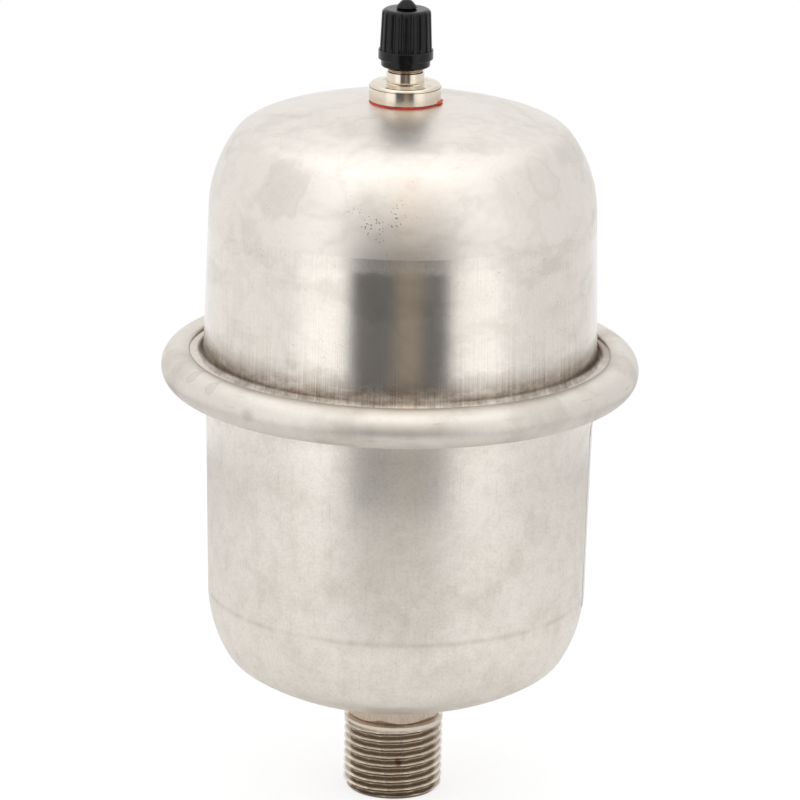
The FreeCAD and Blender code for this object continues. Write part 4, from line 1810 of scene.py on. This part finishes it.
@dataclass(frozen=True)
class Studio:
    """Pale floor, white surround with a darker room behind the camera, lamps and camera."""

    aim_height: float = 0.08551
    camera_distance: float = 1.1884
    camera_elevation: float = 16.53
    camera_roll: float = 1.07
    camera_shift: float = 0.0008
    focal: float = 255.2
    sensor: float = 36.0
    camera_reach: float = 20.0
    floor_radius: float = 0.25
    floor_near: float = 0.17
    floor_gap: float = 0.00005
    floor_corners: int = 96
    card: float = 0.30
    card_glow: float = 0.76
    pale: float = 0.90
    fill: float = 0.95
    room_level: float = 0.10
    opening: Strip = Strip(-30.0, 28.5, 4.5)
    room_gap: Strip = Strip(-3.0, 12.0, 5.0)
    gap_level: float = 0.17
    room_low: Climb = Climb(-16.0, 3.0, 0.43)
    room_high: Climb = Climb(3.0, 42.0, 0.50)
    ceiling: Climb = Climb(30.0, 60.0, 0.43)
    left_band: Strip = Strip(-62.0, -32.0, 7.0, 0.30)
    right_band: Strip = Strip(36.0, 62.0, 9.0, 0.27)
    far_right: Strip = Strip(76.0, 150.0, 14.0, 0.10)
    white: Colour = (255, 255, 255)
    warm: Colour = (255, 238, 216)
    softboxes: tuple[Softbox, ...] = (
        Softbox("left_panel", azimuth=-49.0, width=0.68, radiance=0.40),
        Softbox("right_panel", azimuth=51.0, width=0.64, radiance=0.38),
    )

    def build_world(self) -> None:
        """White surround. Shiny surfaces also see the darker room behind the camera."""
        world = bpy.data.worlds.new("surround")
        bpy.context.scene.world = world
        world.use_nodes = True
        graph = Graph(world.node_tree)
        way = graph.node("ShaderNodeTexCoord", output="Generated")
        x, y, z = (graph.node("ShaderNodeSeparateXYZ", {}, {0: way}, axis) for axis in "XYZ")
        azimuth = x.math("ARCTAN2", y * -1.0) * math.degrees(1.0)
        rise = z.math("ARCSINE") * math.degrees(1.0)
        opening = self.opening.seen(azimuth)
        gap = self.room_gap.seen(azimuth)
        climb = self.room_low.seen(rise) + self.room_high.seen(rise)
        room = (self.room_level + gap * self.gap_level + climb).math("MINIMUM", 1.0)
        ceiling = self.ceiling.seen(rise)
        bands = self.left_band.seen(azimuth) + self.right_band.seen(azimuth)
        seen = 1.0 - opening * (1.0 - room) + ceiling + bands - self.far_right.seen(azimuth)
        camera, glossy, through = (
            graph.node("ShaderNodeLightPath", output=ray)
            for ray in ("Is Camera Ray", "Is Glossy Ray", "Is Transmission Ray")
        )
        bent = glossy.math("MAXIMUM", through)
        strength = self.fill * (1.0 - bent) + seen * bent
        level = camera + strength * (1.0 - camera)
        tint = graph.mix(bent * opening * gap, linear(*self.white), linear(*self.warm))
        light = graph.node("ShaderNodeBackground", {}, {"Color": tint, "Strength": level})
        graph.node("ShaderNodeOutputWorld", {}, {"Surface": light})

    def build_floor(self) -> None:
        """Round pale floor that looks white and keeps the object's shadow."""
        points = [
            (self.floor_radius * math.cos(turn), self.floor_radius * math.sin(turn), -self.floor_gap)
            for turn in even_turns(self.floor_corners)
        ]
        floor = mesh_piece("floor", points, [tuple(range(self.floor_corners))], 30.0)
        material = bpy.data.materials.new("floor_card")
        material.use_nodes = True
        graph = Graph(material.node_tree)
        camera = graph.node("ShaderNodeLightPath", output="Is Camera Ray")
        through = graph.node("ShaderNodeLightPath", output="Is Transmission Ray")
        seen = camera.math("MAXIMUM", through)
        dark = (self.card, self.card, self.card, 1.0)
        light = (self.pale, self.pale, self.pale, 1.0)
        card = graph.node("ShaderNodeBsdfDiffuse", {}, {"Color": dark})
        glow = graph.node("ShaderNodeEmission", {}, {"Strength": self.card_glow})
        lit = graph.node("ShaderNodeAddShader", {}, {0: card, 1: glow})
        surface = Surface(graph)
        far = surface.radius.smooth(self.floor_near, self.floor_radius)
        shaded = graph.mix(far, light, dark)
        plain = graph.node("ShaderNodeBsdfDiffuse", {}, {"Color": shaded})
        both = graph.node("ShaderNodeMixShader", {}, {0: seen, 1: plain, 2: lit})
        graph.node("ShaderNodeOutputMaterial", {}, {"Surface": both})
        floor.data.materials.append(material)

    def build_camera(self) -> None:
        """Camera at the photograph's height and lean."""
        data = bpy.data.cameras.new("camera")
        data.lens = self.focal
        data.sensor_width = self.sensor
        data.shift_x = self.camera_shift
        data.clip_end = self.camera_reach
        camera = bpy.data.objects.new("camera", data)
        bpy.context.scene.collection.objects.link(camera)
        rise = math.radians(self.camera_elevation)
        away = Vector((0.0, -math.cos(rise), math.sin(rise))) * self.camera_distance
        aim = Vector((0.0, 0.0, self.aim_height))
        turn = away.to_track_quat("Z", "Y").to_matrix().to_4x4()
        roll = Matrix.Rotation(math.radians(self.camera_roll), 4, "Z")
        camera.matrix_world = Matrix.Translation(aim + away) @ turn @ roll
        bpy.context.scene.camera = camera

    def build(self) -> None:
        """Build the whole studio."""
        bpy.context.scene.view_settings.view_transform = "Standard"
        self.build_world()
        self.build_floor()
        for softbox in self.softboxes:
            softbox.build(Vector((0.0, 0.0, self.aim_height)))
        self.build_camera()


def main() -> None:
    logging.basicConfig(level=logging.INFO, format="%(message)s")
    vessel = Vessel()
    vessel.build_lower_shell()
    vessel.build_upper_shell()
    nipple = WaterNipple()
    nipple.build()
    nipple.build_braze(vessel.lower_end)
    valve = ChargingValve()
    valve.build_body(vessel)
    valve.build_gasket(vessel)
    valve_top = valve.top_height(vessel)
    DustCap(valve_top + valve.cap_gap, valve_top + valve.stem_height).build()
    SideLabel().build(vessel)
    CoreSpring().build()
    InnerWorks().dress_all()
    Studio().build()


if __name__ == "__main__":
    main()
